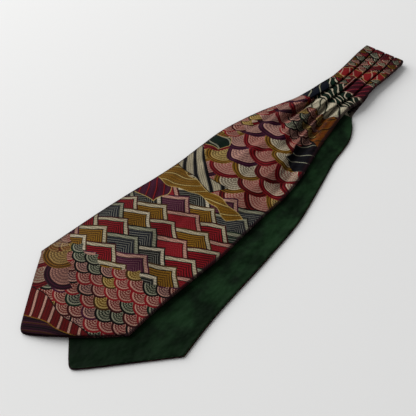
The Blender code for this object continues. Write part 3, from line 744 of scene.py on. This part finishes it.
def upperLining(material):
    wanted = np.linspace(0, 1, underBlade["liningColumns"])
    inset = cloth["wall"] / 2 + edge["hem"] + cloth["stackGap"] + cloth["wall"] / 4
    tipInset = (upperTurn["left"][0] + cloth["wall"] / 2 + edge["hem"] + 3 * cloth["stackGap"]) * edge["pointSetIn"]
    rows = []
    count = round((upperBlade["liningEnd"] - upperBlade["bladeFrom"]) / fineness["bladeStep"])
    starts = finerRows(upperPoint, fineness["perPointRow"])
    starts += [(x, 0.0) for x in np.linspace(upperBlade["bladeFrom"], upperBlade["liningEnd"], count + 1)[1:]]
    for start, taper in starts:
        start = max(start, tipInset)
        xLeft = start + taper * pointEdge(upperOutline["left"][0])
        xRight = start + taper * pointEdge(upperOutline["right"][0])
        left = along(upperOutline, "left", xLeft) - along(upperTurn, "left", xLeft) - inset
        right = along(upperOutline, "right", xRight) + along(upperTurn, "right", xRight) + inset
        y = left + (right - left) * wanted
        if taper > 0:
            y = centred(y, 0.0)
        x = start + taper * pointEdge(y)
        rows.append(np.stack([x, y, support(x, y) + cloth["wall"] / 2], axis=1))
    grid = roundCorners(np.array(rows))
    flat = grid[:, :, :2]
    return sheet("liningUpper", grid, flat, material), grid


# Slip stitches that hold the linings

stitch = dict(spacing=6.5, length=2.3, thickness=0.34, inward=0.3, seed=7)


def stitchTree(material):
    tree = bpy.data.node_groups.new("slip stitches", "GeometryNodeTree")
    for name, kind in (
        ("Path", "Geometry"), ("Spacing", "Float"), ("Length", "Float"), ("Thickness", "Float"), ("Seed", "Int"),
    ):
        tree.interface.new_socket(name, in_out="INPUT", socket_type="NodeSocket" + kind)
    tree.interface.new_socket("Stitches", in_out="OUTPUT", socket_type="NodeSocketGeometry")

    def node(kind, **inputs):
        made = tree.nodes.new(kind)
        for name, value in inputs.items():
            entry = made.inputs[name.replace("_", " ")]
            if isinstance(value, bpy.types.NodeSocket):
                tree.links.new(value, entry)
            else:
                entry.default_value = value
        return made

    given = node("NodeGroupInput").outputs
    curve = node("GeometryNodeMeshToCurve", Mesh=given["Path"]).outputs[0]
    spaced = node("GeometryNodeResampleCurve", Curve=curve)
    spaced.mode = "LENGTH"
    tree.links.new(given["Spacing"], spaced.inputs["Length"])
    bead = node("GeometryNodeMeshUVSphere", Segments=8, Rings=6, Radius=0.5).outputs["Mesh"]
    uneven = tree.nodes.new("FunctionNodeRandomValue")
    uneven.data_type = "FLOAT_VECTOR"
    uneven.inputs[0].default_value = (-0.2, -0.2, -0.05)
    uneven.inputs[1].default_value = (0.2, 0.2, 0.05)
    tree.links.new(given["Seed"], uneven.inputs["Seed"])
    lean = node("ShaderNodeVectorMath")
    tree.links.new(node("GeometryNodeInputTangent").outputs[0], lean.inputs[0])
    tree.links.new(uneven.outputs[0], lean.inputs[1])
    aim = node("FunctionNodeAlignRotationToVector", Vector=lean.outputs[0])
    aim.axis = "X"
    size = node("ShaderNodeCombineXYZ", X=given["Length"], Y=given["Thickness"], Z=given["Thickness"])
    laid = node(
        "GeometryNodeInstanceOnPoints",
        Points=spaced.outputs[0], Instance=bead, Rotation=aim.outputs[0], Scale=size.outputs[0],
    )
    solid = node("GeometryNodeRealizeInstances", Geometry=laid.outputs[0])
    rounded = node("GeometryNodeSetShadeSmooth", Geometry=solid.outputs[0])
    dressed = node("GeometryNodeSetMaterial", Geometry=rounded.outputs[0], Material=material)
    tree.links.new(dressed.outputs[0], node("NodeGroupOutput").inputs[0])
    return tree


def slipStitches(name, grid, rise, tree, material):
    middle = grid[len(grid) // 2, grid.shape[1] // 2]
    points = np.array([grid[i, j] for i, j in rimPath(*grid.shape[:2])])
    inward = middle - points
    inward[:, 2] = 0
    points = points + inward / np.linalg.norm(inward, axis=1)[:, None] * stitch["inward"] + (0, 0, rise)
    mesh = bpy.data.meshes.new(name)
    mesh.from_pydata((points * mm + tipPlace).tolist(), [(n, n + 1) for n in range(len(points) - 1)], [])
    obj = bpy.data.objects.new(name, mesh)
    bpy.context.scene.collection.objects.link(obj)
    sewn = obj.modifiers.new("stitches", "NODES")
    sewn.node_group = tree
    sizes = dict(Spacing=stitch["spacing"] * mm, Length=stitch["length"] * mm, Thickness=stitch["thickness"] * mm)
    for entry in tree.interface.items_tree:
        if entry.name in sizes:
            sewn[entry.identifier] = sizes[entry.name]
        elif entry.name == "Seed":
            sewn[entry.identifier] = stitch["seed"]
    shown = obj.evaluated_get(bpy.context.evaluated_depsgraph_get())
    made = bpy.data.meshes.new_from_object(shown)
    obj.modifiers.clear()
    obj.data = made
    return obj


# Finishes: formulas are written out as shader nodes

class Term:
    # one value inside a shader, which can be used in formulas
    def __init__(self, tree, socket):
        self.tree, self.socket = tree, socket

    def math(self, operation, *others):
        node = self.tree.nodes.new("ShaderNodeMath")
        node.operation = operation
        for entry, value in zip(node.inputs, (self, *others)):
            feed(self.tree, entry, value)
        return Term(self.tree, node.outputs[0])

    def __add__(self, other):
        return self.math("ADD", other)

    def __sub__(self, other):
        return self.math("SUBTRACT", other)

    def __rsub__(self, other):
        return (self * -1.0) + other

    def __mul__(self, other):
        return self.math("MULTIPLY", other)

    def __truediv__(self, other):
        return self.math("DIVIDE", other)

    def __lt__(self, other):
        return self.math("LESS_THAN", other)

    def __gt__(self, other):
        return self.math("GREATER_THAN", other)

    __radd__, __rmul__ = __add__, __mul__

    def floor(self):
        return self.math("FLOOR")

    def fract(self):
        return self.math("FRACT")

    def size(self):
        return self.math("ABSOLUTE")

    def sin(self):
        return self.math("SINE")

    def least(self, other):
        return self.math("MINIMUM", other)

    def most(self, other):
        return self.math("MAXIMUM", other)

    def ramped(self, low, high):
        # 0 below low and 1 above high, smooth between
        node = self.tree.nodes.new("ShaderNodeMapRange")
        node.interpolation_type = "SMOOTHSTEP"
        feed(self.tree, node.inputs["Value"], self)
        feed(self.tree, node.inputs["From Min"], low)
        feed(self.tree, node.inputs["From Max"], high)
        return Term(self.tree, node.outputs["Result"])

    def past(self, level=0.0, blur=0.25):
        # 1 where the value is over this level, with a slightly soft edge
        return self.ramped(level - blur, level + blur)


def feed(tree, entry, value):
    if isinstance(value, Term):
        tree.links.new(value.socket, entry)
    else:
        entry.default_value = value


def mixed(kind, share, low, high, blend="MIX"):
    tree = next(value.tree for value in (share, low, high) if isinstance(value, Term))
    node = tree.nodes.new("ShaderNodeMix")
    node.data_type = kind
    node.blend_type = blend
    first = 2 if kind == "FLOAT" else 6
    feed(tree, node.inputs[0], share)
    feed(tree, node.inputs[first], low)
    feed(tree, node.inputs[first + 1], high)
    return Term(tree, node.outputs[0 if kind == "FLOAT" else 2])


def choose(share, low, high):
    # low where share is 0, high where it is 1
    return mixed("FLOAT", share, low, high)


def tint(share, low, high, blend="MIX"):
    # the same for colours
    return mixed("RGBA", share, low, high, blend)


def vector(tree, x, y, z=0.0):
    node = tree.nodes.new("ShaderNodeCombineXYZ")
    for entry, value in zip(node.inputs, (x, y, z)):
        feed(tree, entry, value)
    return Term(tree, node.outputs[0])


def noise(place, scale, detail=2.0, roughness=0.5):
    node = place.tree.nodes.new("ShaderNodeTexNoise")
    feed(place.tree, node.inputs["Vector"], place)
    node.inputs["Scale"].default_value = scale
    node.inputs["Detail"].default_value = detail
    node.inputs["Roughness"].default_value = roughness
    return Term(place.tree, node.outputs[0])


def chance(column, row, key):
    # an unchanging random value for each tile, read between whole numbers, where 0 has no sign
    node = column.tree.nodes.new("ShaderNodeTexWhiteNoise")
    feed(column.tree, node.inputs["Vector"], vector(column.tree, column + 0.5, row + 0.5, key))
    return Term(column.tree, node.outputs["Value"])


def swatch(value, colours):
    # steps through the colours as value goes from 0 to 1
    node = value.tree.nodes.new("ShaderNodeValToRGB")
    ramp = node.color_ramp
    ramp.interpolation = "CONSTANT"
    while len(ramp.elements) < len(colours):
        ramp.elements.new(0.5)
    for k, (stop, colour) in enumerate(zip(ramp.elements, colours)):
        stop.position = k / len(colours)
        stop.color = colour
    feed(value.tree, node.inputs["Fac"], value)
    return Term(value.tree, node.outputs["Color"])


def raised(tree, height, distance, strength, below=None):
    node = tree.nodes.new("ShaderNodeBump")
    node.inputs["Distance"].default_value = distance
    node.inputs["Strength"].default_value = strength
    feed(tree, node.inputs["Height"], height)
    if below is not None:
        feed(tree, node.inputs["Normal"], below)
    return Term(tree, node.outputs[0])


def newFinish(name):
    # a material, and the places on the cut cloth in millimetres: along it, left of its middle
    material = bpy.data.materials.new(name)
    material.use_nodes = True
    tree = material.node_tree
    cut = tree.nodes.new("ShaderNodeUVMap")
    cut.uv_map = "cutCloth"
    apart = tree.nodes.new("ShaderNodeSeparateXYZ")
    tree.links.new(cut.outputs[0], apart.inputs[0])
    u = Term(tree, apart.outputs[0]) * 1000
    v = Term(tree, apart.outputs[1]) * 1000
    return material, tree, tree.nodes["Principled BSDF"], u, v


def measured(tree, name):
    # a value kept on the cloth: rubbing at edges and ridges, full on the turned rims where the print paints it as
    # shade, and depth in folds for painted shade
    node = tree.nodes.new("ShaderNodeAttribute")
    node.attribute_name = name
    return Term(tree, node.outputs["Fac"])


def dye(red, green, blue):
    # a colour as a screen shows it, from 0 to 255
    shares = [c / 255 for c in (red, green, blue)]
    return tuple(((c + 0.055) / 1.055) ** 2.4 if c > 0.04 else c / 12.92 for c in shares) + (1.0,)


# Two dyes also paint shade: the dim tone deep in the folds, the dark grime on the turned rims.
dyes = dict(
    crimson=dye(136, 20, 28), maroon=dye(58, 5, 9), wine=dye(102, 12, 12), brick=dye(138, 38, 32), gold=dye(138, 98, 24),
    ochre=dye(68, 42, 8), rust=dye(138, 66, 20), cream=dye(204, 194, 168), blush=dye(192, 148, 130), linen=dye(188, 178, 148),
    rose=dye(142, 38, 44), mauve=dye(104, 66, 74), sage=dye(150, 150, 126), moss=dye(34, 50, 34), ash=dye(112, 112, 102),
    bottle=dye(8, 36, 22), slate=dye(34, 36, 44), plum=dye(68, 18, 46), sand=dye(186, 160, 96), soot=dye(5, 3, 4),
    navy=dye(12, 18, 34), fadeAndShade=dye(104, 92, 90), grimeAndShade=dye(34, 20, 24),
)
# Sizes of the print, in millimetres on the flat cloth.
printLook = dict(
    wobble=6.0, wobbleSize=34.0, loose=1.3, looseFrom=(235, 320), fade=0.44, fadeSize=46.0, grain=0.5, grainSize=1.1, seam=0.9,
    # the fold darkening here is painted shade, and the edge grime below also paints the turned rims dark as shade
    fineLine=2.1, fineShade=0.5, bandNarrow=1.25, cornerShade=0.4, foldShade=0.7,
    thread=1.7, threadShade=0.36, twill=0.9, twillDepth=0.00006, threadDepth=0.0003, wearAndRimShade=0.85,
    roughness=0.66, sheen=0.0, gloss=0.035,
)
smallScale = dict(radius=11.3, step=6.7, pitch=22.0, outline=2.0, halo=1.1, ring=2.3, bead=2.3, ground=0.45, soft=0.0, dots=(-0.3, 1.0), key=4.0)
largeScale = dict(radius=21.0, step=14.0, pitch=39.0, outline=5.9, halo=1.2, ring=2.9, bead=2.9, ground=0.1, soft=0.18, dots=(-0.7, 0.9), key=9.0)
bandScale = dict(smallScale, ground=0.85, bead=2.8, ring=2.6, key=14.0)
angleTile = dict(
    column=18.0, pitch=32.0, lean=0.31, offset=0.75, upper=0.47, lower=1.72, power=0.88, square=0.78,
    jitter=3.4, outline=1.5, border=3.2, inner=0.9, line=2.4, hatch=2.7, key=5.0,
)
smallColours = (
    # outline, pale ring, ground
    ("crimson", "blush", "rose"), ("soot", "sage", "moss"), ("plum", "blush", "mauve"), ("crimson", "blush", "brick"),
    ("bottle", "sage", "slate"), ("maroon", "blush", "rose"), ("ochre", "sand", "gold"), ("soot", "blush", "mauve"),
    ("maroon", "blush", "brick"), ("soot", "sage", "moss"), ("crimson", "blush", "rose"),
)
largeColours = (
    ("crimson", "blush", "rose"), ("plum", "blush", "mauve"), ("gold", "sand", "ochre"), ("crimson", "cream", "rose"),
    ("wine", "blush", "rose"), ("gold", "cream", "ochre"),
)
tileColours = (
    # outline, border, ground, line
    ("maroon", "blush", "crimson", "rose"), ("soot", "sage", "navy", "ash"), ("ochre", "linen", "gold", "ochre"),
    ("bottle", "sage", "bottle", "ash"), ("plum", "blush", "plum", "mauve"), ("maroon", "linen", "crimson", "maroon"),
    ("soot", "cream", "soot", "ash"), ("ochre", "cream", "gold", "ochre"),
)


bandColours = (
    ("wine", "blush", "maroon"), ("soot", "gold", "ochre"), ("maroon", "rose", "maroon"), ("soot", "sage", "moss"),
    ("wine", "blush", "wine"), ("maroon", "rose", "wine"), ("crimson", "linen", "maroon"),
)


def scaleCover(u, v, look):
    # overlapping discs whose round edges face the tip: the disc nearest the neck lies on top
    first = ((u + look["radius"]) / look["step"]).floor()
    chosen = None
    for back in (2, 1, 0):
        column = first - back
        shift = (column / 2).fract() * look["pitch"]
        row = ((v - shift) / look["pitch"]).math("ROUND")
        du, dv = u - column * look["step"], v - shift - row * look["pitch"]
        far = (du * du + dv * dv).math("SQRT")
        found = (far, du, dv, column, row)
        if chosen is None:
            chosen = found
        else:
            covers = far < look["radius"]
            chosen = tuple(choose(covers, low, high) for low, high in zip(chosen, found))
    return chosen


def scalePrint(u, v, look, colours, doubled=False):
    far, du, dv, column, row = scaleCover(u, v, look)
    depth = look["radius"] - far
    lot = chance(column, row, look["key"])
    if doubled:
        # these change colour from row to row
        lot = (row * 0.335 + (column / 2).fract() * 0.34 + lot * 0.2 + 0.02).fract()
    outline, halo, ground = (swatch(lot, [dyes[c[k]] for c in colours]) for k in range(3))
    rings = (depth * (2 * math.pi / look["ring"])).sin()
    beads = (du.math("ARCTAN2", dv) * far * (2 * math.pi / look["bead"])).sin()
    dots = (rings + beads).ramped(*look["dots"])
    ground = tint(look["soft"], tint(look["ground"], ground, dyes["soot"]), halo)
    colour = tint(dots, ground, halo)
    colour = tint((depth - look["outline"] - look["halo"]).past(), halo, colour)
    if doubled:
        # two thin stripes run inside the wide outline
        stripes = (depth - look["outline"] * 0.3).size().least((depth - look["outline"] * 0.78).size())
        darker = tint(0.85, outline, dyes["soot"])
        outline = tint((stripes - look["outline"] * 0.1).past(blur=0.35), darker, outline)
    colour = tint((depth - look["outline"]).past(blur=0.3), outline, colour)
    relief = (depth - look["outline"]).ramped(-0.3, 0.6) * (dots * 0.6 + 0.4)
    return colour, relief, u - du, v - dv


def anglePrint(u, v, look, colours):
    # nested angles that point to the neck, each lying over the next one up the cloth
    leaned = u + v * look["lean"]
    first = (leaned / look["column"]).math("CEIL")
    chosen = None
    for ahead, below in ((1, 1), (1, 0), (0, 1), (0, 0)):
        column = first + ahead
        shift = (column * look["offset"]).fract() * look["pitch"]
        row = ((v - shift) / look["pitch"]).math("CEIL") - below
        sway = (chance(column, row, look["key"] + 1) - 0.5) * look["jitter"]
        dv = v - shift - row * look["pitch"] + sway
        reach = dv.size().math("POWER", look["power"]) * choose(dv > 0, look["lower"], look["upper"])
        inside = (column * look["column"] - leaned - reach + sway) * look["square"]
        found = (inside, column, row, v - dv)
        if chosen is None:
            chosen = found
        else:
            covers = inside > 0
            chosen = tuple(choose(covers, low, high) for low, high in zip(chosen, found))
    inside, column, row, tipV = chosen
    lot = (column * 0.375 + row * 0.25 + chance(column, row, look["key"]) * 0.3).fract()
    outline, border, ground, line = (swatch(lot, [dyes[c[k]] for c in colours]) for k in range(4))
    lines = (inside * (2 * math.pi / look["line"])).sin().ramped(-0.2, 0.8)
    colour = tint(lines, ground, line)
    hatch = ((u * 0.94 + v * 0.34) * (2 * math.pi / look["hatch"])).sin().ramped(0.2, 0.9)
    border = tint(hatch * 0.5, border, outline)
    borderEnd = look["outline"] + look["border"]
    colour = tint((inside - borderEnd - look["inner"]).past(), dyes["soot"], colour)
    colour = tint((inside - borderEnd).past(), border, colour)
    colour = tint((inside - look["outline"]).past(), outline, colour)
    relief = choose((inside - borderEnd).past(), 0.9, 1 - lines * 0.7)
    return colour, relief, column * look["column"] - tipV * look["lean"], tipV


def stripePrint(across, pitch, width, ground, stripe, edging="soot"):
    # stripes with thin edges, on a ground of fine lines
    part = ((across / pitch).fract() - 0.5).size() * pitch
    fine = (part * (2 * math.pi / printLook["fineLine"])).sin().ramped(-0.2, 0.6)
    colour = tint(fine * printLook["fineShade"], dyes[ground], dyes[edging])
    colour = tint((part - width / 2 - 0.8).past(), dyes[edging], colour)
    return tint((part - width / 2).past(), dyes[stripe], colour), (part - width / 2).ramped(0.4, -0.4)


def bladePrint(u, v):
    # the panels of the print from the point to the neckband
    small = scalePrint(u, v, smallScale, smallColours)
    large = scalePrint(u, v, largeScale, largeColours, doubled=True)
    angles = anglePrint(u, v, angleTile, tileColours)

    def striped(*looks):
        return *stripePrint(*looks), u, v

    reeds = striped(u * 0.72 - v * 0.69 + (v / 19).sin() * 3, 11.5, 2.4, "linen", "soot", "slate")
    look = large

    def lay(panel, inside, seam=None):
        # puts a panel where inside is over 0: it ends at its motifs, or at a thin line
        nonlocal look
        colour, relief = look[:2]
        within = inside(*panel[2:])
        if seam:
            colour = tint((within + printLook["seam"]).past(), colour, dyes[seam])
        share = within.past()
        look = tint(share, colour, panel[0]), choose(share, relief, panel[1])

    def scalesEnd(v):
        return 106 + (v * -0.3).most(0)

    lay(angles, lambda u, v: 254 + (v / 17).sin() * 6 - (v * 0.45).most(0) - u)
    lay(small, lambda u, v: scalesEnd(v) - u)
    deeper = tint(printLook["cornerShade"], large[0], tint(1.0, large[0], dyes["rust"], "MULTIPLY"))
    lay((deeper, *large[1:]), lambda u, v: (v - 16 - (u - 74).size() * 0.3).least(scalesEnd(v) - 8 - u))
    # the point: barred red, then dark with gold streaks
    bars = striped(u * 0.57 - v * 0.82, 10.0, 2.2, "wine", "blush", "maroon")
    lay(bars, lambda u, v: 39 + (v / 9).sin() * 2 + ((v + 58) * -0.5).most(0) - u, "soot")
    streaks = striped(u * 0.86 + v * 0.5 + (v / 9).sin(), 7.5, 1.2, "soot", "ochre", "plum")
    lay(streaks, lambda u, v: 19 - u - v * 0.3 - (v / 6).sin() * 1.5, "gold")
    # panels across the middle
    plumBars = striped(u * 0.62 - v * 0.78, 8.5, 1.2, "plum", "crimson", "maroon")
    lay(plumBars, lambda u, v: (v - 21 - (u - 203).size() * 0.2 + (u / 4).sin() * 1.5)
        .least(15 + (v / 6).sin() - (u - 203).size()), "sand")
    leaves = striped(v * 0.5 + u * 0.86 + (v / 9).sin() * 3.5, 10.5, 1.4, "gold", "sand", "ochre")
    lay(leaves, lambda u, v: (u - 221 + ((v - 8) / 16).sin() * 5 + (v / 4).sin())
        .least(236 + ((v - 5) * 0.25).most(0) - ((v + 30) * -0.15).most(0) + (v / 5).sin() * 1.5 - u)
        .least(v + 60 + (u - 230) * 0.8), "sand")
    lay(reeds, lambda u, v: (u - 238 - ((v - 5) * 0.25).most(0) - (v / 9).sin() * 2)
        .least(251 + (v - 4).most(0) * 0.85 - u).least(v + 18 + (u - 244) * 0.7), "soot")
    # shoulders
    fern = striped(u * 0.8 - v * 0.6 + (v / 6).sin() * 3, 13.0, 1.6, "bottle", "sage")
    lay(fern, lambda u, v: (v - 23 - (u - 303).size() * 0.6).least(10 - (u - 303).size()), "sand")
    lay(small, lambda u, v: (v - 24).least(u - 322))
    night = striped(u * 0.9 + v * 0.45, 13.0, 1.0, "soot", "sage", "navy")
    lay(night, lambda u, v: ((u / 8).sin() * 2 - 38 - v).least(u - 328 + (v / 5).sin() * 3).least(374 - u), "soot")
    rustBars = striped(u * 0.6 + v * 0.8 + (u / 5).sin(), 11.0, 1.6, "rust", "maroon", "gold")
    lay(rustBars, lambda u, v: ((u / 8).sin() * 2 - 42 - v).least(u - 372 + (v / 6).sin() * 3).least(424 - u), "soot")
    # gathers: mixed marks, cream reeds, dark panels with pale strokes
    lay(small, lambda u, v: (u - 368).least(-2 - v).least(v + 46).least(420 - u))
    paleReeds = striped(u * 0.5 - v * 0.87 + (v / 5).sin() * 1.5, 12.0, 1.4, "cream", "soot", "sage")
    lay(paleReeds, lambda u, v: (u - 412 + v * 0.2 - (v / 6).sin() * 2).least(446 - v * 0.12 - u).least(-6 - v), "soot")
    strokes = striped(u * 0.75 - v * 0.66 + (v / 2.4).sin() * 1.4, 8.5, 2.0, "bottle", "cream")
    lay(strokes, lambda u, v: (u - 440 + v * 0.14).least(484 + (v / 7).sin() * 2 - u), "soot")
    inky = striped(u * 0.62 - v * 0.78, 13.5, 1.6, "navy", "sage")
    lay(inky, lambda u, v: (v - 1).least(u - 432).least(470 + v * 0.3 - u), "soot")
    # neckband
    narrow = printLook["bandNarrow"]
    marks = scalePrint(u * narrow, v * narrow, bandScale, bandColours)
    lay((*marks[:2], u, v), lambda u, v: u - 486)
    bandBars = striped(u * 0.6 + v * 0.8, 9.0, 1.5, "maroon", "rose", "plum")
    lay(bandBars, lambda u, v: (u - 478 - v * 0.05).least(512 + v * 0.1 - u).least(-28 - v), "blush")
    flames = striped(u * 0.55 - v * 0.84, 10.5, 1.4, "crimson", "blush", "brick")
    lay(flames, lambda u, v: 8.5 + (v / 3).sin() * 2 - (u - 510 + v * 0.22).size(), "sand")
    return look


def printedSilkFinish():
    material, tree, shader, straightU, straightV = newFinish("printed silk")
    place = vector(tree, straightU, straightV)
    aside = vector(tree, straightU + 400, straightV)
    sway = 1 / printLook["wobbleSize"]
    wobble = (straightU.ramped(*printLook["looseFrom"]) * printLook["loose"] + 1) * printLook["wobble"]
    u = straightU + (noise(place, sway, 1.0) - 0.5) * wobble
    v = straightV + (noise(aside, sway, 1.0) - 0.5) * wobble
    colour, relief = bladePrint(u, v)

    # the print is uneven and the threads show; folds are darkened as painted shade, the edges carry rubbed grime, and
    # the turned rims are painted dark as shade
    fading = noise(place, 1 / printLook["fadeSize"], 3.0).ramped(0.3, 0.75)
    colour = tint(fading * printLook["fade"], colour, tint(1.0, colour, dyes["fadeAndShade"], "MULTIPLY"))
    grain = noise(place, 1 / printLook["grainSize"], 2.0).ramped(0.3, 0.7)
    turn = 2 * math.pi / printLook["thread"]
    threads = ((straightU * 0.8 + straightV * 0.6) * turn).sin() * ((straightU * 0.6 - straightV * 0.8) * turn).sin()
    shade = grain * printLook["grain"] + threads.ramped(-0.8, 0.4) * -printLook["threadShade"] + printLook["threadShade"]
    colour = tint(shade, colour, tint(1.0, colour, dyes["fadeAndShade"], "MULTIPLY"))
    # painted shade: the print darkens deep in the folds
    foldShade = measured(tree, "foldShade") * printLook["foldShade"]
    colour = tint(foldShade, colour, tint(1.0, colour, dyes["fadeAndShade"], "MULTIPLY"))
    # grime rubbed in at the edges and along the fold ridges; on the turned rims it is painted shade
    rubbing = measured(tree, "wearAndRimShade")
    wearAndRimShade = (rubbing * noise(place, 0.2, 3.0).ramped(0.3, 0.6)).most(rubbing.ramped(0.9, 1.0))
    colour = tint(wearAndRimShade * printLook["wearAndRimShade"], colour, dyes["grimeAndShade"])
    feed(tree, shader.inputs["Base Color"], colour)
    feed(tree, shader.inputs["Roughness"], wearAndRimShade * 0.15 + printLook["roughness"])
    shader.inputs["Sheen Weight"].default_value = printLook["sheen"]
    shader.inputs["Sheen Roughness"].default_value = 0.4
    shader.inputs["Specular IOR Level"].default_value = printLook["gloss"]
    twill = ((straightU + straightV) * (2 * math.pi / printLook["twill"])).sin() * 0.5 + 0.5
    weave = raised(tree, twill, printLook["twillDepth"], 0.6)
    feed(tree, shader.inputs["Normal"], raised(tree, relief, printLook["threadDepth"], 0.8, weave))
    return material


satinLook = dict(
    deep=dye(7, 17, 8), bright=dye(25, 49, 27), rubbed=dye(30, 48, 30), mottle=26.0, streak=7.0,
    roughness=0.58, gloss=0.03, sheen=0.0, warp=0.55, warpDepth=0.00005,
    crumple=17.0, crumpleDepth=0.0042, pointShade=0.8, pointShadeReach=130.0,
)


def satinFinish(name):
    material, tree, shader, u, v = newFinish(name)
    mottle = noise(vector(tree, u, v), 1 / satinLook["mottle"], 3.0, 0.6).ramped(0.35, 0.68)
    streak = noise(vector(tree, u * 0.25, v), 1 / satinLook["streak"], 2.0)
    colour = tint(mottle * 0.75 + streak * 0.25, satinLook["deep"], satinLook["bright"])
    # painted shade: the satin darkens towards its point
    colour = tint(u.ramped(satinLook["pointShadeReach"], 0) * satinLook["pointShade"], colour, satinLook["deep"])
    colour = tint(measured(tree, "wearAndRimShade") * streak * 0.8, colour, satinLook["rubbed"])
    feed(tree, shader.inputs["Base Color"], colour)
    feed(tree, shader.inputs["Roughness"], streak * 0.16 + satinLook["roughness"])
    shader.inputs["Specular IOR Level"].default_value = satinLook["gloss"]
    shader.inputs["Sheen Weight"].default_value = satinLook["sheen"]
    shader.inputs["Sheen Tint"].default_value = satinLook["bright"]
    shader.inputs["Anisotropic"].default_value = 0.4
    warp = (v * (2 * math.pi / satinLook["warp"])).sin() * 0.5 + 0.5
    weave = raised(tree, warp, satinLook["warpDepth"], 0.5)
    crumple = noise(vector(tree, u, v * 1.4), 1 / satinLook["crumple"], 2.0, 0.45)
    feed(tree, shader.inputs["Normal"], raised(tree, crumple, satinLook["crumpleDepth"], 0.8, weave))
    return material


def threadFinish(name):
    material = plainFinish(name, satinLook["rubbed"], 0.55, 0.1)
    tree = material.node_tree
    shader = tree.nodes["Principled BSDF"]
    place = Term(tree, tree.nodes.new("ShaderNodeTexCoord").outputs["Object"])
    ply = noise(place, 1400.0, 1.0)
    feed(tree, shader.inputs["Base Color"], tint(ply, satinLook["bright"], satinLook["rubbed"]))
    feed(tree, shader.inputs["Normal"], raised(tree, ply, 0.0001, 0.6))
    return material


def plainFinish(name, colour, roughness, gloss=0.2):
    material = bpy.data.materials.new(name)
    material.use_nodes = True
    shader = material.node_tree.nodes["Principled BSDF"]
    shader.inputs["Base Color"].default_value = colour
    shader.inputs["Roughness"].default_value = roughness
    shader.inputs["Specular IOR Level"].default_value = gloss
    return material


# Studio

studio = dict(
    focal=620.0, frameWidth=416, sensor=36.0, place=(-0.38437, -0.28411, 0.48046),
    elevation=math.radians(48), towards=(0.68266, 0.73073),
    boxSize=(5.6, 3.8), boxPower=262.0, boxDistance=4.0, boxBearing=math.radians(-4), boxRise=math.radians(33),
    roomColour=(1.0, 1.0, 1.0, 1), roomStrength=0.33, tableColour=(0.8, 0.8, 0.795, 1), tableReach=4.0, tableGap=0.0003,
)


def addCamera():
    data = bpy.data.cameras.new("camera")
    data.sensor_width = studio["sensor"]
    data.lens = studio["focal"] * studio["sensor"] / studio["frameWidth"]
    data.clip_start, data.clip_end = 0.01, 20
    camera = bpy.data.objects.new("camera", data)
    bpy.context.scene.collection.objects.link(camera)
    camera.location = studio["place"]
    level = math.cos(studio["elevation"])
    aim = Vector((studio["towards"][1] * level, studio["towards"][0] * level, -math.sin(studio["elevation"])))
    camera.rotation_mode = "QUATERNION"
    camera.rotation_quaternion = aim.to_track_quat("-Z", "Y")
    bpy.context.scene.camera = camera


def addStudio():
    # one soft box low on the cravat's left, and an even pale room
    data = bpy.data.lights.new("soft box", "AREA")
    data.shape = "RECTANGLE"
    data.size, data.size_y = studio["boxSize"]
    data.energy = studio["boxPower"]
    box = bpy.data.objects.new("soft box", data)
    bearing, rise = studio["boxBearing"], studio["boxRise"]
    towards = Vector((math.sin(bearing) * math.cos(rise), math.cos(bearing) * math.cos(rise), math.sin(rise)))
    box.location = towards * studio["boxDistance"]
    box.rotation_mode = "QUATERNION"
    box.rotation_quaternion = (-towards).to_track_quat("-Z", "Y")
    bpy.context.scene.collection.objects.link(box)
    world = bpy.data.worlds.new("pale room")
    world.use_nodes = True
    background = world.node_tree.nodes["Background"]
    background.inputs["Color"].default_value = studio["roomColour"]
    background.inputs["Strength"].default_value = studio["roomStrength"]
    bpy.context.scene.world = world
    bpy.context.scene.view_settings.view_transform = "Standard"


def addTable():
    reach, below = studio["tableReach"], -studio["tableGap"]
    corners = [(-reach, -reach, below), (reach, -reach, below), (reach, reach, below), (-reach, reach, below)]
    mesh = bpy.data.meshes.new("table")
    mesh.from_pydata(corners, [], [(0, 1, 2, 3)])
    mesh.materials.append(plainFinish("pale table", studio["tableColour"], 0.9))
    table = bpy.data.objects.new("table", mesh)
    bpy.context.scene.collection.objects.link(table)
    return table


addCamera()
print("camera placed")

printedSilk = printedSilkFinish()
liningSatin = satinFinish("lining satin")

upper = upperShell(printedSilk)
under = underShell(printedSilk)
liningHidden, hiddenGrid = upperLining(liningSatin)
liningShown, shownGrid = underLining(liningSatin)
print("cloth laid out")

thread = threadFinish("green thread")
sewing = stitchTree(thread)
stitchesHidden = slipStitches("stitchesUpper", hiddenGrid, -cloth["shownWall"] / 2, sewing, thread)
stitchesShown = slipStitches("stitchesUnder", shownGrid, rim["liningWall"] / 2, sewing, thread)
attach(stitchesHidden, "root")
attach(stitchesShown, "root")
print("linings sewn")

addStudio()
floor = addTable()
print("studio set")

for piece, node, finish in (
    (upper, "shell_upper", "printed_silk"),
    (under, "shell_under", "printed_silk"),
    (liningHidden, "lining_upper", "lining_satin"),
    (liningShown, "lining_under", "lining_satin"),
):
    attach(piece, "root")
    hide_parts(node)
